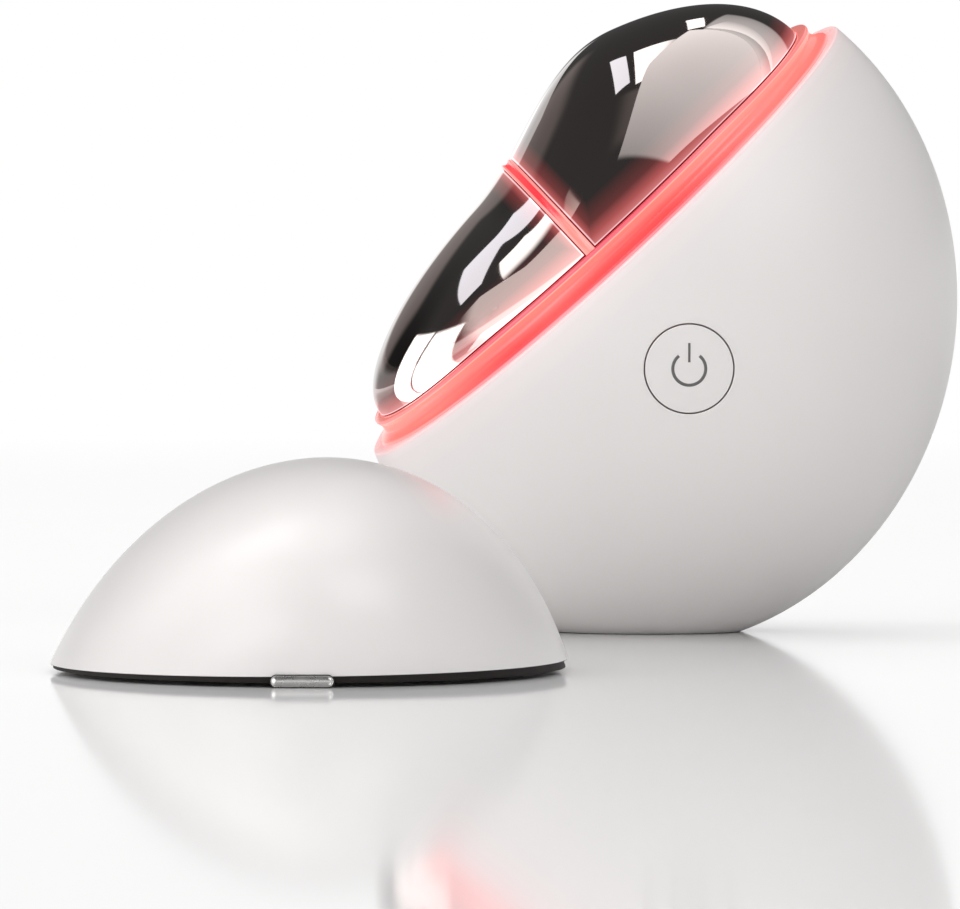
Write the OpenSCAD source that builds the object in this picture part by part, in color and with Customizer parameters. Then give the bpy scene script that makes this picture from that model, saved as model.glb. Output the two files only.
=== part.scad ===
// Electric gua sha tool: an egg-shaped body on a small flat foot, cut off at a slant, with a light ring and a
// two-lobed metal head on the cut, and a loose dome cap beside it. Millimetres.
// Origin: centre of the foot's flat face. X to the right of the button side, Y away from it, Z up.

/* [Body] */
// half length of the egg from side to side
body_half_w = 36.5; // [34:0.1:40]
// half thickness of the egg from front to back
body_half_t = 29.0; // [27:0.1:32]
// half height of the egg
body_half_h = 41.1; // [38:0.1:46]
// lean of the egg's long axis to the right, degrees
body_lean = 4.5; // [0:0.1:8]
// height of the egg's centre over the foot
body_centre_z = 39.1; // [37:0.1:40]
// sideways offset of the egg's centre from the foot's centre
body_centre_x = 0.65; // [0:0.05:1.5]
// wall of both shells
wall = 1.8; // [1.5:0.1:2.4]
// thickness of the shells at the foot
floor_t = 3.0; // [2.4:0.1:4]

/* [Slanted cut] */
// slope of the cut, degrees from level
cut_angle = 42.7; // [38:0.1:48]
// turn of the cut towards the button side, degrees
cut_tilt = 7.1; // [0:0.1:10]
// distance of the cut from the egg's centre
cut_offset = 9.65; // [8:0.05:12]

/* [Light ring] */
// height of the ring above the shoulder
ring_h = 3.7; // [3.2:0.1:4.4]
// how far the ring reaches down inside the shells
ring_skirt = 3.2; // [2.4:0.1:4]
// shoulder left for the cap's rim at the sides
shoulder = 1.15; // [1.1:0.05:1.6]
// inset of the ring's top lip at the sides
lip_inset = 3.0; // [2.8:0.05:3.4]
// inset of the ring's top lip at the two ends
lip_inset_end = 2.6; // [2.3:0.05:3]
// depth of the hollow channel behind the top lip
cove = 0.3; // [0.2:0.05:0.5]
// width of the top lip at the sides
lip_w = 0.97; // [0.9:0.01:1.3]
// width of the top lip at the two ends
lip_w_end = 1.14; // [0.9:0.01:1.5]

/* [Head] */
// shift of the head towards the high end
head_shift = -0.2; // [-0.4:0.05:0.4]
// height of the small lobe over the head's foot
low_lobe = 10.6; // [8:0.1:11.4]
// height of the large lobe over the head's foot, before it rounds off at the end
high_lobe = 17.8; // [14:0.1:18]
// where the crest starts to rise, along the slope from the head's middle
rise_from = -9.4; // [-14:0.1:-4]
// where the crest has risen
rise_to = 17.6; // [14:0.1:24]
// wall of the metal electrodes
metal_t = 1.4; // [0.8:0.1:2]
// width of the divider between the electrodes
divider_w = 1.3; // [1:0.1:1.8]
// place of the divider along the slope
divider_at = -2.5; // [-5:0.1:0]

/* [Cap] */
// height of the cap's dome over its rim
cap_h = 22.6; // [21.8:0.1:26]
// wall of the cap at its sides
cap_wall = 1.0; // [0.9:0.05:1.1]
// wall of the cap at its two ends
cap_wall_end = 1.3; // [1.1:0.05:1.4]
// lean of the dome's top towards the high end
cap_lean_end = 3.4; // [2:0.1:5]
// lean of the dome's top away from the button side
cap_lean_side = 1.9; // [0.5:0.1:2.2]
// share of a full ball that the side-to-side section leaves out
cap_cut = 0.42; // [0.3:0.01:0.45]
// fullness of the end-to-end section, where 2 is a plain ellipse
cap_full = 2.5; // [2.3:0.05:3]
// length of the metal tab at the rim
tab_l = 6.7; // [5:0.1:9]
// height of the tab
tab_h = 1.4; // [1.2:0.1:2]
// how far the tab and the buffers reach below the rim
tab_drop = 0.5; // [0.3:0.05:0.7]
// how far the tab stands out from the cap
tab_proud = 0.35; // [0.2:0.05:0.6]
// place of the cap's centre to the left of the foot
cap_x = -38.4; // [-60:0.1:-30]
// place of the cap's centre in front of the foot
cap_y = -98.5; // [-140:0.5:-75]

/* [Button] */
// diameter of the power button
button_d = 10.3; // [9:0.1:12]
// place of the button to the right of the foot's centre
button_x = 4.4; // [2:0.1:8]
// height of the button
button_z = 31.8; // [28:0.1:36]
// travel of the button
button_travel = 0.4; // [0.3:0.05:0.5]
// gap round the button
button_gap = 0.15; // [0.1:0.01:0.2]
// outer diameter of the power symbol
icon_d = 4.2; // [3.5:0.1:5]
// line width of the power symbol
icon_line = 0.36; // [0.25:0.01:0.5]

/* [Inside] */
// vibration motor's diameter
motor_d = 7; // [6:0.1:8]
// length of the motor can
motor_l = 12; // [10:0.5:14]
// length of the battery
battery_l = 28; // [24:0.5:29]
// width of the battery
battery_w = 22; // [18:0.5:22.5]
// thickness of the battery
battery_t = 6; // [4:0.1:7]
// length of the main board
board_l = 28; // [26:0.5:28.5]
// width of the main board
board_w = 24; // [22:0.5:24.5]
// side of the largest chip
chip_w = 7; // [5:0.5:7.5]
// height of the chips
chip_t = 1; // [0.8:0.1:1.4]
// thickness of the boards
board_t = 1.2; // [0.8:0.1:1.6]
// thickness of the chassis
chassis_t = 2.0; // [1.6:0.1:2.6]
// width of the USB-C socket
usb_w = 9.0; // [8.9:0.05:9.2]
// height of the USB-C socket
usb_h = 3.3; // [3.2:0.05:3.5]
// number of red LEDs round the ring
led_count = 12; // [8:1:16]

/* [Hidden] */
$fn = 64;
gap = 0.1;
big = 140;
sides = 72;
PALE = [0.93, 0.91, 0.90];
RED = [0.95, 0.35, 0.33];
METAL = [0.30, 0.28, 0.28];
STEEL = [0.75, 0.75, 0.77];
GREEN = [0.12, 0.38, 0.24];
DARK = [0.16, 0.16, 0.17];
GREY = [0.55, 0.55, 0.56];

// The slanted cut's own axes: along the slope, across it, and straight out of it.
along = [cos(cut_angle), 0, sin(cut_angle)];
out = [-sin(cut_angle) * cos(cut_tilt), -sin(cut_tilt), cos(cut_angle) * cos(cut_tilt)];
across = cross(out, along);
body_centre = [body_centre_x, 0, body_centre_z];
axis_w = [cos(body_lean), 0, -sin(body_lean)];
axis_h = [sin(body_lean), 0, cos(body_lean)];
function unit(v) = v / norm(v);
function egg_map(v) = body_half_w * v[0] * axis_w + [0, body_half_t * v[1], 0] + body_half_h * v[2] * axis_h;
function egg_back(v) = [body_half_w * (axis_w * v), body_half_t * v[1], body_half_h * (axis_h * v)];

// The cut through the egg is an ellipse: its centre, its half length, its half width and its small shear.
egg_out = egg_back(out);
cut_share = cut_offset / norm(egg_out);
rim_shrink = sqrt(1 - cut_share * cut_share);
rim_centre = body_centre + cut_share * egg_map(unit(egg_out));
rim_p = unit(cross(egg_back(across), unit(egg_out)));
rim_q = cross(unit(egg_out), rim_p);
rim_sign = egg_map(rim_p) * along > 0 ? 1 : -1;
rim_l = rim_shrink * abs(egg_map(rim_p) * along);
rim_w = rim_shrink * abs(egg_map(rim_q) * across);
rim_k = rim_sign * rim_shrink * (egg_map(rim_q) * along) * (egg_map(rim_q) * across > 0 ? 1 : -1) * rim_sign;
function rim_pt(inset_l, inset_w, a, h) = [
    (rim_l - inset_l) * cos(a) + rim_k * (1 - inset_w / rim_w) * sin(a),
    (rim_w - inset_w) * sin(a), h];
head_half_l = rim_l - lip_inset_end - lip_w_end - gap;
head_half_w = rim_w - lip_inset - lip_w - gap;
function head_pt(grow_l, grow_w, a, h) = [
    head_shift + (head_half_l + grow_l) * cos(a), (head_half_w + grow_w) * sin(a), h];
function cut_pt(u, v, h) = rim_centre + u * along + v * across + h * out;

// A point on the egg that is smaller by an inset all round, at a height over the cut, in the cut's own axes.
function small_back(inset, v) = [
    (body_half_w - inset) * (axis_w * v), (body_half_t - inset) * v[1], (body_half_h - inset) * (axis_h * v)];
function small_map(inset, v) =
    (body_half_w - inset) * v[0] * axis_w + [0, (body_half_t - inset) * v[1], 0]
    + (body_half_h - inset) * v[2] * axis_h;
function wall_pt(inset, a, h) = let (
    o = small_back(inset, out), n = norm(o), t = (cut_offset + h) / n, k = sqrt(1 - t * t),
    p = unit(cross(small_back(inset, across), o)), q = cross(o / n, p),
    c = body_centre + t * small_map(inset, o / n) - rim_centre,
    l = abs(small_map(inset, p) * along), m = small_map(inset, q) * along, w = small_map(inset, q) * across)
    [c * along + k * (l * cos(a) + (w > 0 ? m : -m) * sin(a)), c * across + k * abs(w) * sin(a), h];

head_foot = ring_h - 1.1;
ledge = 1.5;
deck_top = -ring_skirt - 1.8;
deck_t = 1.4;
led_board_t = 0.8;
led_t = 0.8;
inner_gap = 0.6;

module cut_frame() {
    translate(rim_centre) rotate([0, -cut_angle, 0]) rotate([cut_tilt, 0, 0]) children();
}
module cap_frame() {
    translate([cap_x, cap_y, tab_drop]) rotate([0, 0, -90]) children();
}
module egg(inset) {
    translate(body_centre) rotate([0, body_lean, 0])
        scale([body_half_w - inset, body_half_t - inset, body_half_h - inset])
        rotate([24, 35, 50]) sphere(r = 1, $fn = 96);
}
// Half of the egg on one side of the seam plane, as a skin of rings that shrink to a point.
// With a reach the flat face lies past the seam by that much.
module half_egg(inset, side, reach) {
    m = sides;
    n = 12;
    rows = [for (i = [reach > 0 ? -1 : 0 : n - 1]) let (e = 90 * max(i, 0) / n) [for (j = [0 : m - 1])
        let (a = 360 * j / m) body_centre
            + (body_half_w - inset) * cos(e) * cos(a) * axis_w
            + (body_half_h - inset) * cos(e) * sin(a) * axis_h
            + [0, side * (i < 0 ? -reach : (body_half_t - inset) * sin(e)), 0]]];
    k = len(rows);
    shape = [
        [for (j = [0 : m - 1]) j],
        for (i = [0 : k - 2]) for (j = [0 : m - 1]) let (
            a = i * m + j, b = i * m + (j + 1) % m, c = (i + 1) * m + (j + 1) % m, d = (i + 1) * m + j)
            each [[a, c, b], [a, d, c]],
        for (j = [0 : m - 1]) [(k - 1) * m + j, k * m, (k - 1) * m + (j + 1) % m]];
    polyhedron(
        points = concat([for (r = rows) for (p = r) p], [body_centre + [0, side * (body_half_t - inset), 0]]),
        faces = side > 0 ? [for (f = shape) [for (q = [len(f) - 1 : -1 : 0]) f[q]]] : shape,
        convexity = 4);
}
module rim_slab(inset, h0, h1) {
    multmatrix([
        [rim_l - inset, rim_k * (1 - inset / rim_w), 0, 0],
        [0, rim_w - inset, 0, 0],
        [0, 0, 1, h0],
        [0, 0, 0, 1]]) cylinder(r = 1, h = h1 - h0);
}
module head_slab(grow, h0, h1) {
    translate([head_shift, 0, h0]) scale([head_half_l + grow, head_half_w + grow, 1])
        cylinder(r = 1, h = h1 - h0);
}
module rod(r, a, b) {
    d = b - a;
    translate(a) rotate([0, acos(d[2] / norm(d)), atan2(d[1], d[0])]) cylinder(r = r, h = norm(d), $fn = 24);
}
module wire(r, points) {
    for (i = [0 : len(points) - 2]) rod(r, points[i], points[i + 1]);
    for (i = [1 : len(points) - 2]) translate(points[i]) rotate([24, 35, 50]) sphere(r = 1.5 * r, $fn = 24);
}
module box(a, b) {
    translate(a) cube(b - a);
}
// A closed skin through rows of points: every row is a closed loop, and the last row meets the first.
module closed_skin(rows) {
    n = len(rows);
    m = len(rows[0]);
    polyhedron(
        points = [for (r = rows) for (p = r) p],
        faces = [for (i = [0 : n - 1]) for (j = [0 : m - 1]) let (
            a = i * m + j, b = i * m + (j + 1) % m,
            c = ((i + 1) % n) * m + (j + 1) % m, d = ((i + 1) % n) * m + j)
            each [[a, b, c], [a, c, d]]],
        convexity = 6);
}
// A bowl with an outer and an inner skin that meet round one edge; each list of rows starts at that edge.
module double_skin(outer, inner, tip_outer, tip_inner, flip) {
    n = len(outer);
    m = len(outer[0]);
    k = n * m;
    top_o = 2 * k;
    top_i = 2 * k + 1;
    shape = [
        for (i = [0 : n - 2]) for (j = [0 : m - 1]) let (
            a = i * m + j, b = i * m + (j + 1) % m, c = (i + 1) * m + (j + 1) % m, d = (i + 1) * m + j)
            each [[a, c, b], [a, d, c], [k + a, k + b, k + c], [k + a, k + c, k + d]],
        for (j = [0 : m - 1]) let (a = (n - 1) * m + j, b = (n - 1) * m + (j + 1) % m)
            each [[a, top_o, b], [k + a, k + b, top_i]],
        for (j = [0 : m - 1]) let (b = (j + 1) % m) each [[j, b, k + b], [j, k + b, k + j]]];
    polyhedron(
        points = concat(
            [for (r = outer) for (p = r) p], [for (r = inner) for (p = r) p], [tip_outer, tip_inner]),
        faces = flip ? [for (f = shape) [f[2], f[1], f[0]]] : shape,
        convexity = 6);
}

// Body shells.
module shell_half(side) {
    difference() {
        half_egg(0, side, 0);
        difference() {
            half_egg(wall, side, 1);
            box([-big, -big, -big], [big, big, floor_t]);
        }
        cut_frame() box([-big, -big, 0], [big, big, big]);
        box([-big, -big, -big], [big, big, 0]);
        foot_hollow();
        cut_frame() shoulder_notches();
    }
}
module foot_hollow() {
    translate([0, 0, -1]) scale([pad_l + gap, pad_w + gap, 1]) cylinder(r = 1, h = 1 + pad_t);
    for (s = [-1, 1]) translate([0, s * foot_screw_y, 0]) {
        cylinder(r = 0.9, h = floor_t + 1, $fn = 24);
        cylinder(r = 1.7, h = pad_t + 1.1, $fn = 24);
    }
}
module shoulder_notches() {
    box([rim_l - cap_wall_end - 0.1, -tab_l / 2 - 0.15, -tab_drop - 0.15], [rim_l + 2, tab_l / 2 + 0.15, 1]);
    for (s = [-1, 1]) translate(rim_pt(0.65, 0.65, 180 + s * buffer_angle, -tab_drop - 0.15))
        cylinder(r = buffer_r + 0.1, h = 2, $fn = 24);
}
pad_l = 9.4;
pad_w = 7.0;
pad_t = 0.9;
foot_screw_y = 4.6;
buffer_angle = 24;
buffer_r = 0.38;
battery_x0 = -8;
battery_z0 = 11;
tape_t = 0.5;
boss_r = 2.4;
frame_spots = [
    [battery_x0 - boss_r - 3.6, 20], [battery_x0 + battery_l + boss_r + 0.6, 24], [24, 52]];

module front_shell() color(PALE) difference() {
    union() {
        shell_half(-1);
        intersection() {
            half_egg(wall / 2, -1, 0);
            union() {
                button_rod(tube_r, -tube_end - 10, -tube_end);
                for (p = frame_spots) translate([p[0], -chassis_t / 2, p[1]]) rotate([90, 0, 0])
                    cylinder(r = boss_r, h = big, $fn = 32);
                for (s = [-1, 1]) translate([button_x + s * key_screw_x, key_back, button_z])
                    rotate([90, 0, 0]) cylinder(r = 1.6, h = 20, $fn = 32);
            }
        }
    }
    for (p = frame_spots) translate([p[0], 0, p[1]]) rotate([90, 0, 0]) cylinder(r = 0.8, h = 8, $fn = 24);
    for (s = [-1, 1]) translate([button_x + s * key_screw_x, 0, button_z]) rotate([90, 0, 0])
        cylinder(r = 0.6, h = -key_back + 3, $fn = 24);
    button_rod(button_d / 2 + button_gap, -big, -tube_end + 1);
}
module back_shell() color(PALE) difference() {
    shell_half(1);
    usb_opening();
}

// Light ring, with a channel between two lips and a ledge that carries the head.
function blend_inset(w) =
    shoulder * 1.2 + (w - shoulder) * (lip_inset_end - shoulder * 1.2) / (lip_inset - shoulder);
function ring_pt(w, h, a) = rim_pt(blend_inset(w), w, a, h);
skirt_inset = wall + 0.4;
cove_w = lip_inset + cove;
ring_rows = [for (i = [0 : sides - 1]) let (a = 360 * i / sides) [
    rim_pt(skirt_inset, skirt_inset, a, -ring_skirt),
    rim_pt(skirt_inset, skirt_inset, a, 0),
    ring_pt(shoulder, 0, a),
    ring_pt(shoulder + 0.05, 0.15, a),
    ring_pt(shoulder + 0.3, 0.5, a),
    ring_pt(shoulder + (cove_w - shoulder) * 0.38, 0.78, a),
    ring_pt(shoulder + (cove_w - shoulder) * 0.68, 1.15, a),
    ring_pt(shoulder + (cove_w - shoulder) * 0.9, 1.6, a),
    ring_pt(cove_w, 2.15, a),
    ring_pt(cove_w - cove * 0.2, ring_h - 1.1, a),
    ring_pt(lip_inset + cove * 0.3, ring_h - 0.75, a),
    ring_pt(lip_inset, ring_h - 0.5, a),
    ring_pt(lip_inset, ring_h - 0.2, a),
    ring_pt(lip_inset + 0.12, ring_h, a),
    head_pt(gap, gap, a, ring_h),
    head_pt(gap, gap, a, head_foot),
    head_pt(gap - ledge, gap - ledge, a, head_foot),
    head_pt(gap - ledge, gap - ledge, a, -ring_skirt)]];
module light_ring() color(RED) cut_frame() closed_skin(ring_rows);
module ring_gasket() color(DARK) cut_frame() closed_skin([
    for (i = [0 : sides - 1]) let (a = 360 * i / sides) [
    rim_pt(skirt_inset, skirt_inset, a, gasket_low), wall_pt(wall + gasket_gap, a, gasket_low),
    wall_pt(wall + gasket_gap, a, gasket_top), rim_pt(skirt_inset, skirt_inset, a, gasket_top)]]);
gasket_low = -2.4;
gasket_top = -1.2;
gasket_gap = 0.13;

// Metal head: the crest over the foot, and half sections that are half ellipses.
function smooth(t) = let (c = max(0, min(1, t))) c * c * (3 - 2 * c);
function rise(u) = low_lobe + (high_lobe - low_lobe) * smooth((u - rise_from) / (rise_to - rise_from));
side_lean = cap_lean_side / cap_h;
function head_grid(u, e, q, thin) = let (r = sin(e), h = (rise(u) - thin) * r * sin(q)) [
    u, (head_half_w - thin) * r * cos(q) + side_lean * h, head_foot + h];
function head_end(u, thin) = acos(max(-1, min(1, (head_shift - u) / (head_half_l - thin))));
steps = 16;
arc = 28;
module electrode(side) {
    cut_u = divider_at + side * (divider_w / 2 + 0.05);
    rows = function (thin) [for (i = [1 : steps]) let (
        e0 = side < 0 ? 0 : 180,
        e1 = head_end(cut_u, thin),
        e = e0 + (e1 - e0) * i / steps,
        u = head_shift - (head_half_l - thin) * cos(e))
        [for (j = [0 : arc]) head_grid(u, e, 180 * j / arc, thin)]];
    tip = function (thin) [head_shift + side * (head_half_l - thin), 0, head_foot];
    half_skin(rows(0), rows(metal_t), tip(0), tip(metal_t), side > 0);
}
// A half bowl lying on its flat foot, open at the foot and at the end where the last rows are.
module half_skin(outer, inner, tip_outer, tip_inner, flip) {
    n = len(outer);
    m = len(outer[0]);
    k = n * m;
    to = 2 * k;
    ti = 2 * k + 1;
    shape = [
        for (i = [0 : n - 2]) for (j = [0 : m - 2]) let (
            a = i * m + j, b = i * m + j + 1, c = (i + 1) * m + j + 1, d = (i + 1) * m + j)
            each [[a, b, c], [a, c, d], [k + a, k + c, k + b], [k + a, k + d, k + c]],
        for (j = [0 : m - 2]) each [[j, to, j + 1], [k + j, k + j + 1, ti]],
        for (i = [0 : n - 2]) let (a = i * m, d = (i + 1) * m, p = a + m - 1, q = d + m - 1)
            each [[a, d, k + d], [a, k + d, k + a], [p, k + q, q], [p, k + p, k + q]],
        [to, 0, k], [to, k, ti], [to, k + m - 1, m - 1], [to, ti, k + m - 1],
        for (j = [0 : m - 2]) let (a = (n - 1) * m + j, b = a + 1)
            each [[a, b, k + b], [a, k + b, k + a]]];
    polyhedron(
        points = concat(
            [for (r = outer) for (p = r) p], [for (r = inner) for (p = r) p], [tip_outer, tip_inner]),
        faces = flip ? [for (f = shape) [f[2], f[1], f[0]]] : shape,
        convexity = 6);
}
module upper_electrode() color(METAL) cut_frame() electrode(1);
module lower_electrode() color(METAL) cut_frame() electrode(-1);
module divider_guide() color(RED) cut_frame() {
    e = head_end(divider_at, 0);
    w = head_half_w * sin(e);
    h = rise(divider_at) * sin(e);
    translate([divider_at - divider_w / 2, 0, head_foot]) rotate([90, 0, 90])
        linear_extrude(divider_w) polygon([
        for (j = [0 : 40]) let (y = (h + 0.12) * sin(j * 4.5)) [w * cos(j * 4.5) + side_lean * y, y],
        for (j = [40 : -1 : 0]) let (y = (h - 2.6) * sin(j * 4.5))
            [(w - 3) * cos(j * 4.5) + side_lean * y, y]]);
}
post_u = 17;
post_v = 9;
module posts(r, h0, h1) {
    for (s = [-1, 1]) for (t = [-1, 1]) translate([s * post_u, t * post_v, h0])
        cylinder(r = r, h = h1 - h0, $fn = 32);
}
lead_spots = [[9, 20.4], [-11, 19.8]];
module lead_bores(h0, h1) {
    for (p = lead_spots) translate([p[0], p[1], h0]) cylinder(r = 0.6, h = h1 - h0, $fn = 24);
    for (u = led_lead_u) translate([u, led_lead_v, h0]) cylinder(r = 0.6, h = h1 - h0, $fn = 24);
}
led_lead_u = [0, 2.2];
led_lead_v = 19.6;
carrier_t = 2.0;
module head_carrier() color(GREY) cut_frame() difference() {
    union() {
        head_slab(-ledge, head_foot - carrier_t, head_foot);
        posts(2.3, deck_top, head_foot - carrier_t + 0.5);
    }
    posts(0.8, deck_top - 1, 0);
}
module carrier_screws() color(STEEL) cut_frame() {
    posts(0.8, deck_top - deck_t - 0.5, 0);
    posts(1.7, deck_top - deck_t - 1.2, deck_top - deck_t);
}
led_inset = 6.3;
module led_board() color(GREEN) cut_frame() difference() {
    rim_slab(skirt_inset + 0.6, deck_top, deck_top + led_board_t);
    rim_slab(10, deck_top - 1, deck_top + 2);
    lead_bores(deck_top - 1, deck_top + 2);
}
module red_leds() color(RED) cut_frame() for (i = [0 : led_count - 1]) {
    a = 360 * (i + 0.5) / led_count;
    translate(rim_pt(4.4, 4.4, a, deck_top + led_board_t + led_t / 2)) rotate([0, 0, a])
        cube([1.4, 2, led_t], center = true);
}

// Chassis: an upright plate, a deck under the light ring, a cradle for the motor and a foot block.
motor_h = deck_top - deck_t - 4.1;
motor_from = -3;
sleeve_t = 0.7;
cradle_from = motor_from + 1;
cradle_to = motor_from + motor_l - 1;
board_y = 8;
usb_z = 12;
board_z0 = 9;
board_x0 = -10;
board_spots = [
    for (x = [board_x0 + 2.4, board_x0 + board_l - 2.4])
    for (z = [board_z0 + 2.4, board_z0 + board_w - 2.4]) [x, z]];
window = [[battery_x0 + battery_l - 15, battery_z0 + battery_w + 1.4],
    [battery_x0 + battery_l - 1, battery_z0 + battery_w + 5.6]];
module chassis() color(DARK) difference() {
    union() {
        difference() {
            translate(body_centre) rotate([0, body_lean, 0])
                scale([body_half_w - wall - inner_gap, 1, body_half_h - wall - inner_gap])
                rotate([90, 0, 0]) cylinder(r = 1, h = chassis_t, center = true);
            cut_frame() box([motor_from - 3, -8, motor_h - 4.7], [motor_from + motor_l + 8, 8, 0]);
            cut_frame() box([-big, -big, deck_top - deck_t / 2], [big, big, big]);
            box([-big, -big, -big], [big, big, floor_t + 0.05]);
        }
        cut_frame() rim_slab(wall + inner_gap, deck_top - deck_t, deck_top);
        cut_frame() box([cradle_from, -5.2, motor_h - 5.2], [cradle_to, 5.2, deck_top - deck_t / 2]);
        box([-7, -7, floor_t + 0.05], [7, 7, floor_t + 6]);
        for (p = board_spots) translate([p[0], chassis_t / 2 - 0.5, p[1]]) rotate([-90, 0, 0])
            cylinder(r = 2, h = board_y - chassis_t / 2 + 0.5, $fn = 32);
    }
    cut_frame() {
        posts(1.0, deck_top - deck_t - 1, deck_top + 1);
        lead_bores(deck_top - deck_t - 1, deck_top + 1);
        translate([motor_from - 5, 0, motor_h]) rotate([0, 90, 0])
            cylinder(r = motor_d / 2 + sleeve_t, h = motor_l + 14);
    }
    box([window[0][0], -3, window[0][1]], [window[1][0], 3, window[1][1]]);
    for (p = frame_spots) translate([p[0], 5, p[1]]) rotate([90, 0, 0]) cylinder(r = 1.0, h = 10, $fn = 24);
    for (p = board_spots) translate([p[0], 2, p[1]]) rotate([-90, 0, 0]) cylinder(r = 0.6, h = 10, $fn = 24);
    for (s = [-1, 1]) translate([0, s * foot_screw_y, 0]) cylinder(r = 0.75, h = floor_t + 5, $fn = 24);
}
module frame_screws() color(STEEL) for (p = frame_spots) translate([p[0], 0, p[1]]) {
    translate([0, chassis_t / 2 + 1.2, 0]) rotate([90, 0, 0]) cylinder(r = 1.7, h = 1.2, $fn = 32);
    translate([0, chassis_t / 2 + 0.6, 0]) rotate([90, 0, 0]) cylinder(r = 0.8, h = 8, $fn = 24);
}
module foot_screws() color(STEEL) for (s = [-1, 1]) translate([0, s * foot_screw_y, 0]) {
    translate([0, 0, pad_t + 0.1]) cylinder(r = 1.5, h = 1.0, $fn = 32);
    translate([0, 0, pad_t + 0.6]) cylinder(r = 0.75, h = 6.4, $fn = 24);
}
module foot_pad() color(DARK) scale([pad_l, pad_w, 1]) cylinder(r = 1, h = pad_t);

// Vibration motor.
module motor_can() color(STEEL) cut_frame() translate([motor_from, 0, motor_h])
    rotate([0, 90, 0]) difference() {
    cylinder(r = motor_d / 2, h = motor_l);
    translate([0, 0, motor_l - 2]) cylinder(r = 0.8, h = 3, $fn = 32);
}
module motor_sleeve() color(DARK) cut_frame() translate([cradle_from, 0, motor_h])
    rotate([0, 90, 0]) difference() {
    cylinder(r = motor_d / 2 + sleeve_t, h = cradle_to - cradle_from);
    translate([0, 0, -1]) cylinder(r = motor_d / 2, h = motor_l);
}
module motor_weight() color(STEEL) cut_frame() translate([motor_from, 0, motor_h]) rotate([0, 90, 0]) {
    translate([0, 0, motor_l - 1.8]) cylinder(r = 0.75, h = 7.2, $fn = 32);
    translate([0, 0, motor_l + 0.8]) difference() {
        cylinder(r = 3, h = 4);
        box([-4, 0.9, -1], [4, 4, 6]);
    }
}
function board_top(x, r) = [x, board_y + board_t + r, board_z0 + board_w - 2];
module motor_leads() color(RED) for (s = [0, 1]) {
    x = -1.8 - s * 1.8;
    wire(0.35, [cut_pt(motor_from, 1, motor_h + s * 2 - 1), cut_pt(motor_from - 1.6, 1, motor_h + s * 2 - 1),
        [x, board_y + board_t + 0.5, board_z0 + board_w + 2], board_top(x, 0.35)]);
}

// Main board, its parts and the charging socket.
module main_board() color(GREEN) difference() {
    box([board_x0, board_y, board_z0], [board_x0 + board_l, board_y + board_t, board_z0 + board_w]);
    for (p = board_spots) translate([p[0], board_y - 1, p[1]]) rotate([-90, 0, 0])
        cylinder(r = 0.9, h = 4, $fn = 24);
}
module board_chips() color(DARK) {
    face = board_y + board_t;
    x = board_x0 + board_l / 2;
    z = board_z0 + board_w / 2;
    box([x - 1 - chip_w, face, z - 1], [x - 1, face + chip_t, z - 1 + chip_w]);
    box([x + 3, face, z - 2], [x + 3 + chip_w * 0.55, face + chip_t * 1.2, z - 2 + chip_w * 0.55]);
    box([x + 4, face, z + 4], [x + 4 + chip_w * 0.36, face + chip_t, z + 4 + chip_w * 0.28]);
    box([x - 10, face, z - 4.5], [x - 10 + chip_w * 0.28, face + chip_t * 0.8, z - 4.5 + chip_w * 0.17]);
    translate([x + 9, face, z - 6]) rotate([-90, 0, 0]) cylinder(r = chip_w * 0.23, h = chip_t * 3, $fn = 32);
}
module board_screws() color(STEEL) for (p = board_spots) translate([p[0], board_y + board_t, p[1]])
    rotate([90, 0, 0]) {
    translate([0, 0, -0.8]) cylinder(r = 1.5, h = 0.8, $fn = 32);
    cylinder(r = 0.6, h = 5, $fn = 24);
}
module stadium(w, h, l) {
    for (s = [-1, 1]) translate([s * (w - h) / 2, 0, 0]) rotate([-90, 0, 0])
        cylinder(r = h / 2, h = l, $fn = 32);
    translate([-(w - h) / 2, 0, -h / 2]) cube([w - h, l, h]);
}
usb_mouth = 20.9;
module usb_opening() {
    translate([body_centre_x, 10, usb_z]) stadium(usb_w + 0.4, usb_h + 0.4, 20);
}
module usb_socket() color(STEEL) translate([body_centre_x, board_y + board_t, usb_z]) difference() {
    stadium(usb_w, usb_h, usb_mouth - board_y - board_t);
    translate([0, 4, 0]) stadium(usb_w - 0.6, usb_h - 0.6, 20);
}
module usb_tongue() color(DARK) translate([body_centre_x, board_y + board_t, usb_z])
    box([-3.2, 4, -0.35], [3.2, usb_mouth - board_y - board_t - 0.8, 0.35]);

// Battery on the front of the chassis.
battery_y = -chassis_t / 2 - tape_t;
module battery_tape() color(DARK)
    box([battery_x0 + 2, battery_y, battery_z0 + battery_w * 0.43],
        [battery_x0 + battery_l * 0.68, -chassis_t / 2, battery_z0 + battery_w - 1]);
module battery() color(STEEL)
    box([battery_x0, battery_y - battery_t, battery_z0],
        [battery_x0 + battery_l, battery_y, battery_z0 + battery_w]);
module battery_leads() color(RED) for (x = [window[1][0] - 7.6, window[1][0] - 5.8]) wire(0.5, [
    [x, -4.5, battery_z0 + battery_w], [x, -4.5, battery_z0 + battery_w + 3],
    [x, board_y + board_t + 0.5, battery_z0 + battery_w + 3],
    [x, board_y + board_t + 0.5, board_z0 + board_w - 2]]);

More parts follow.
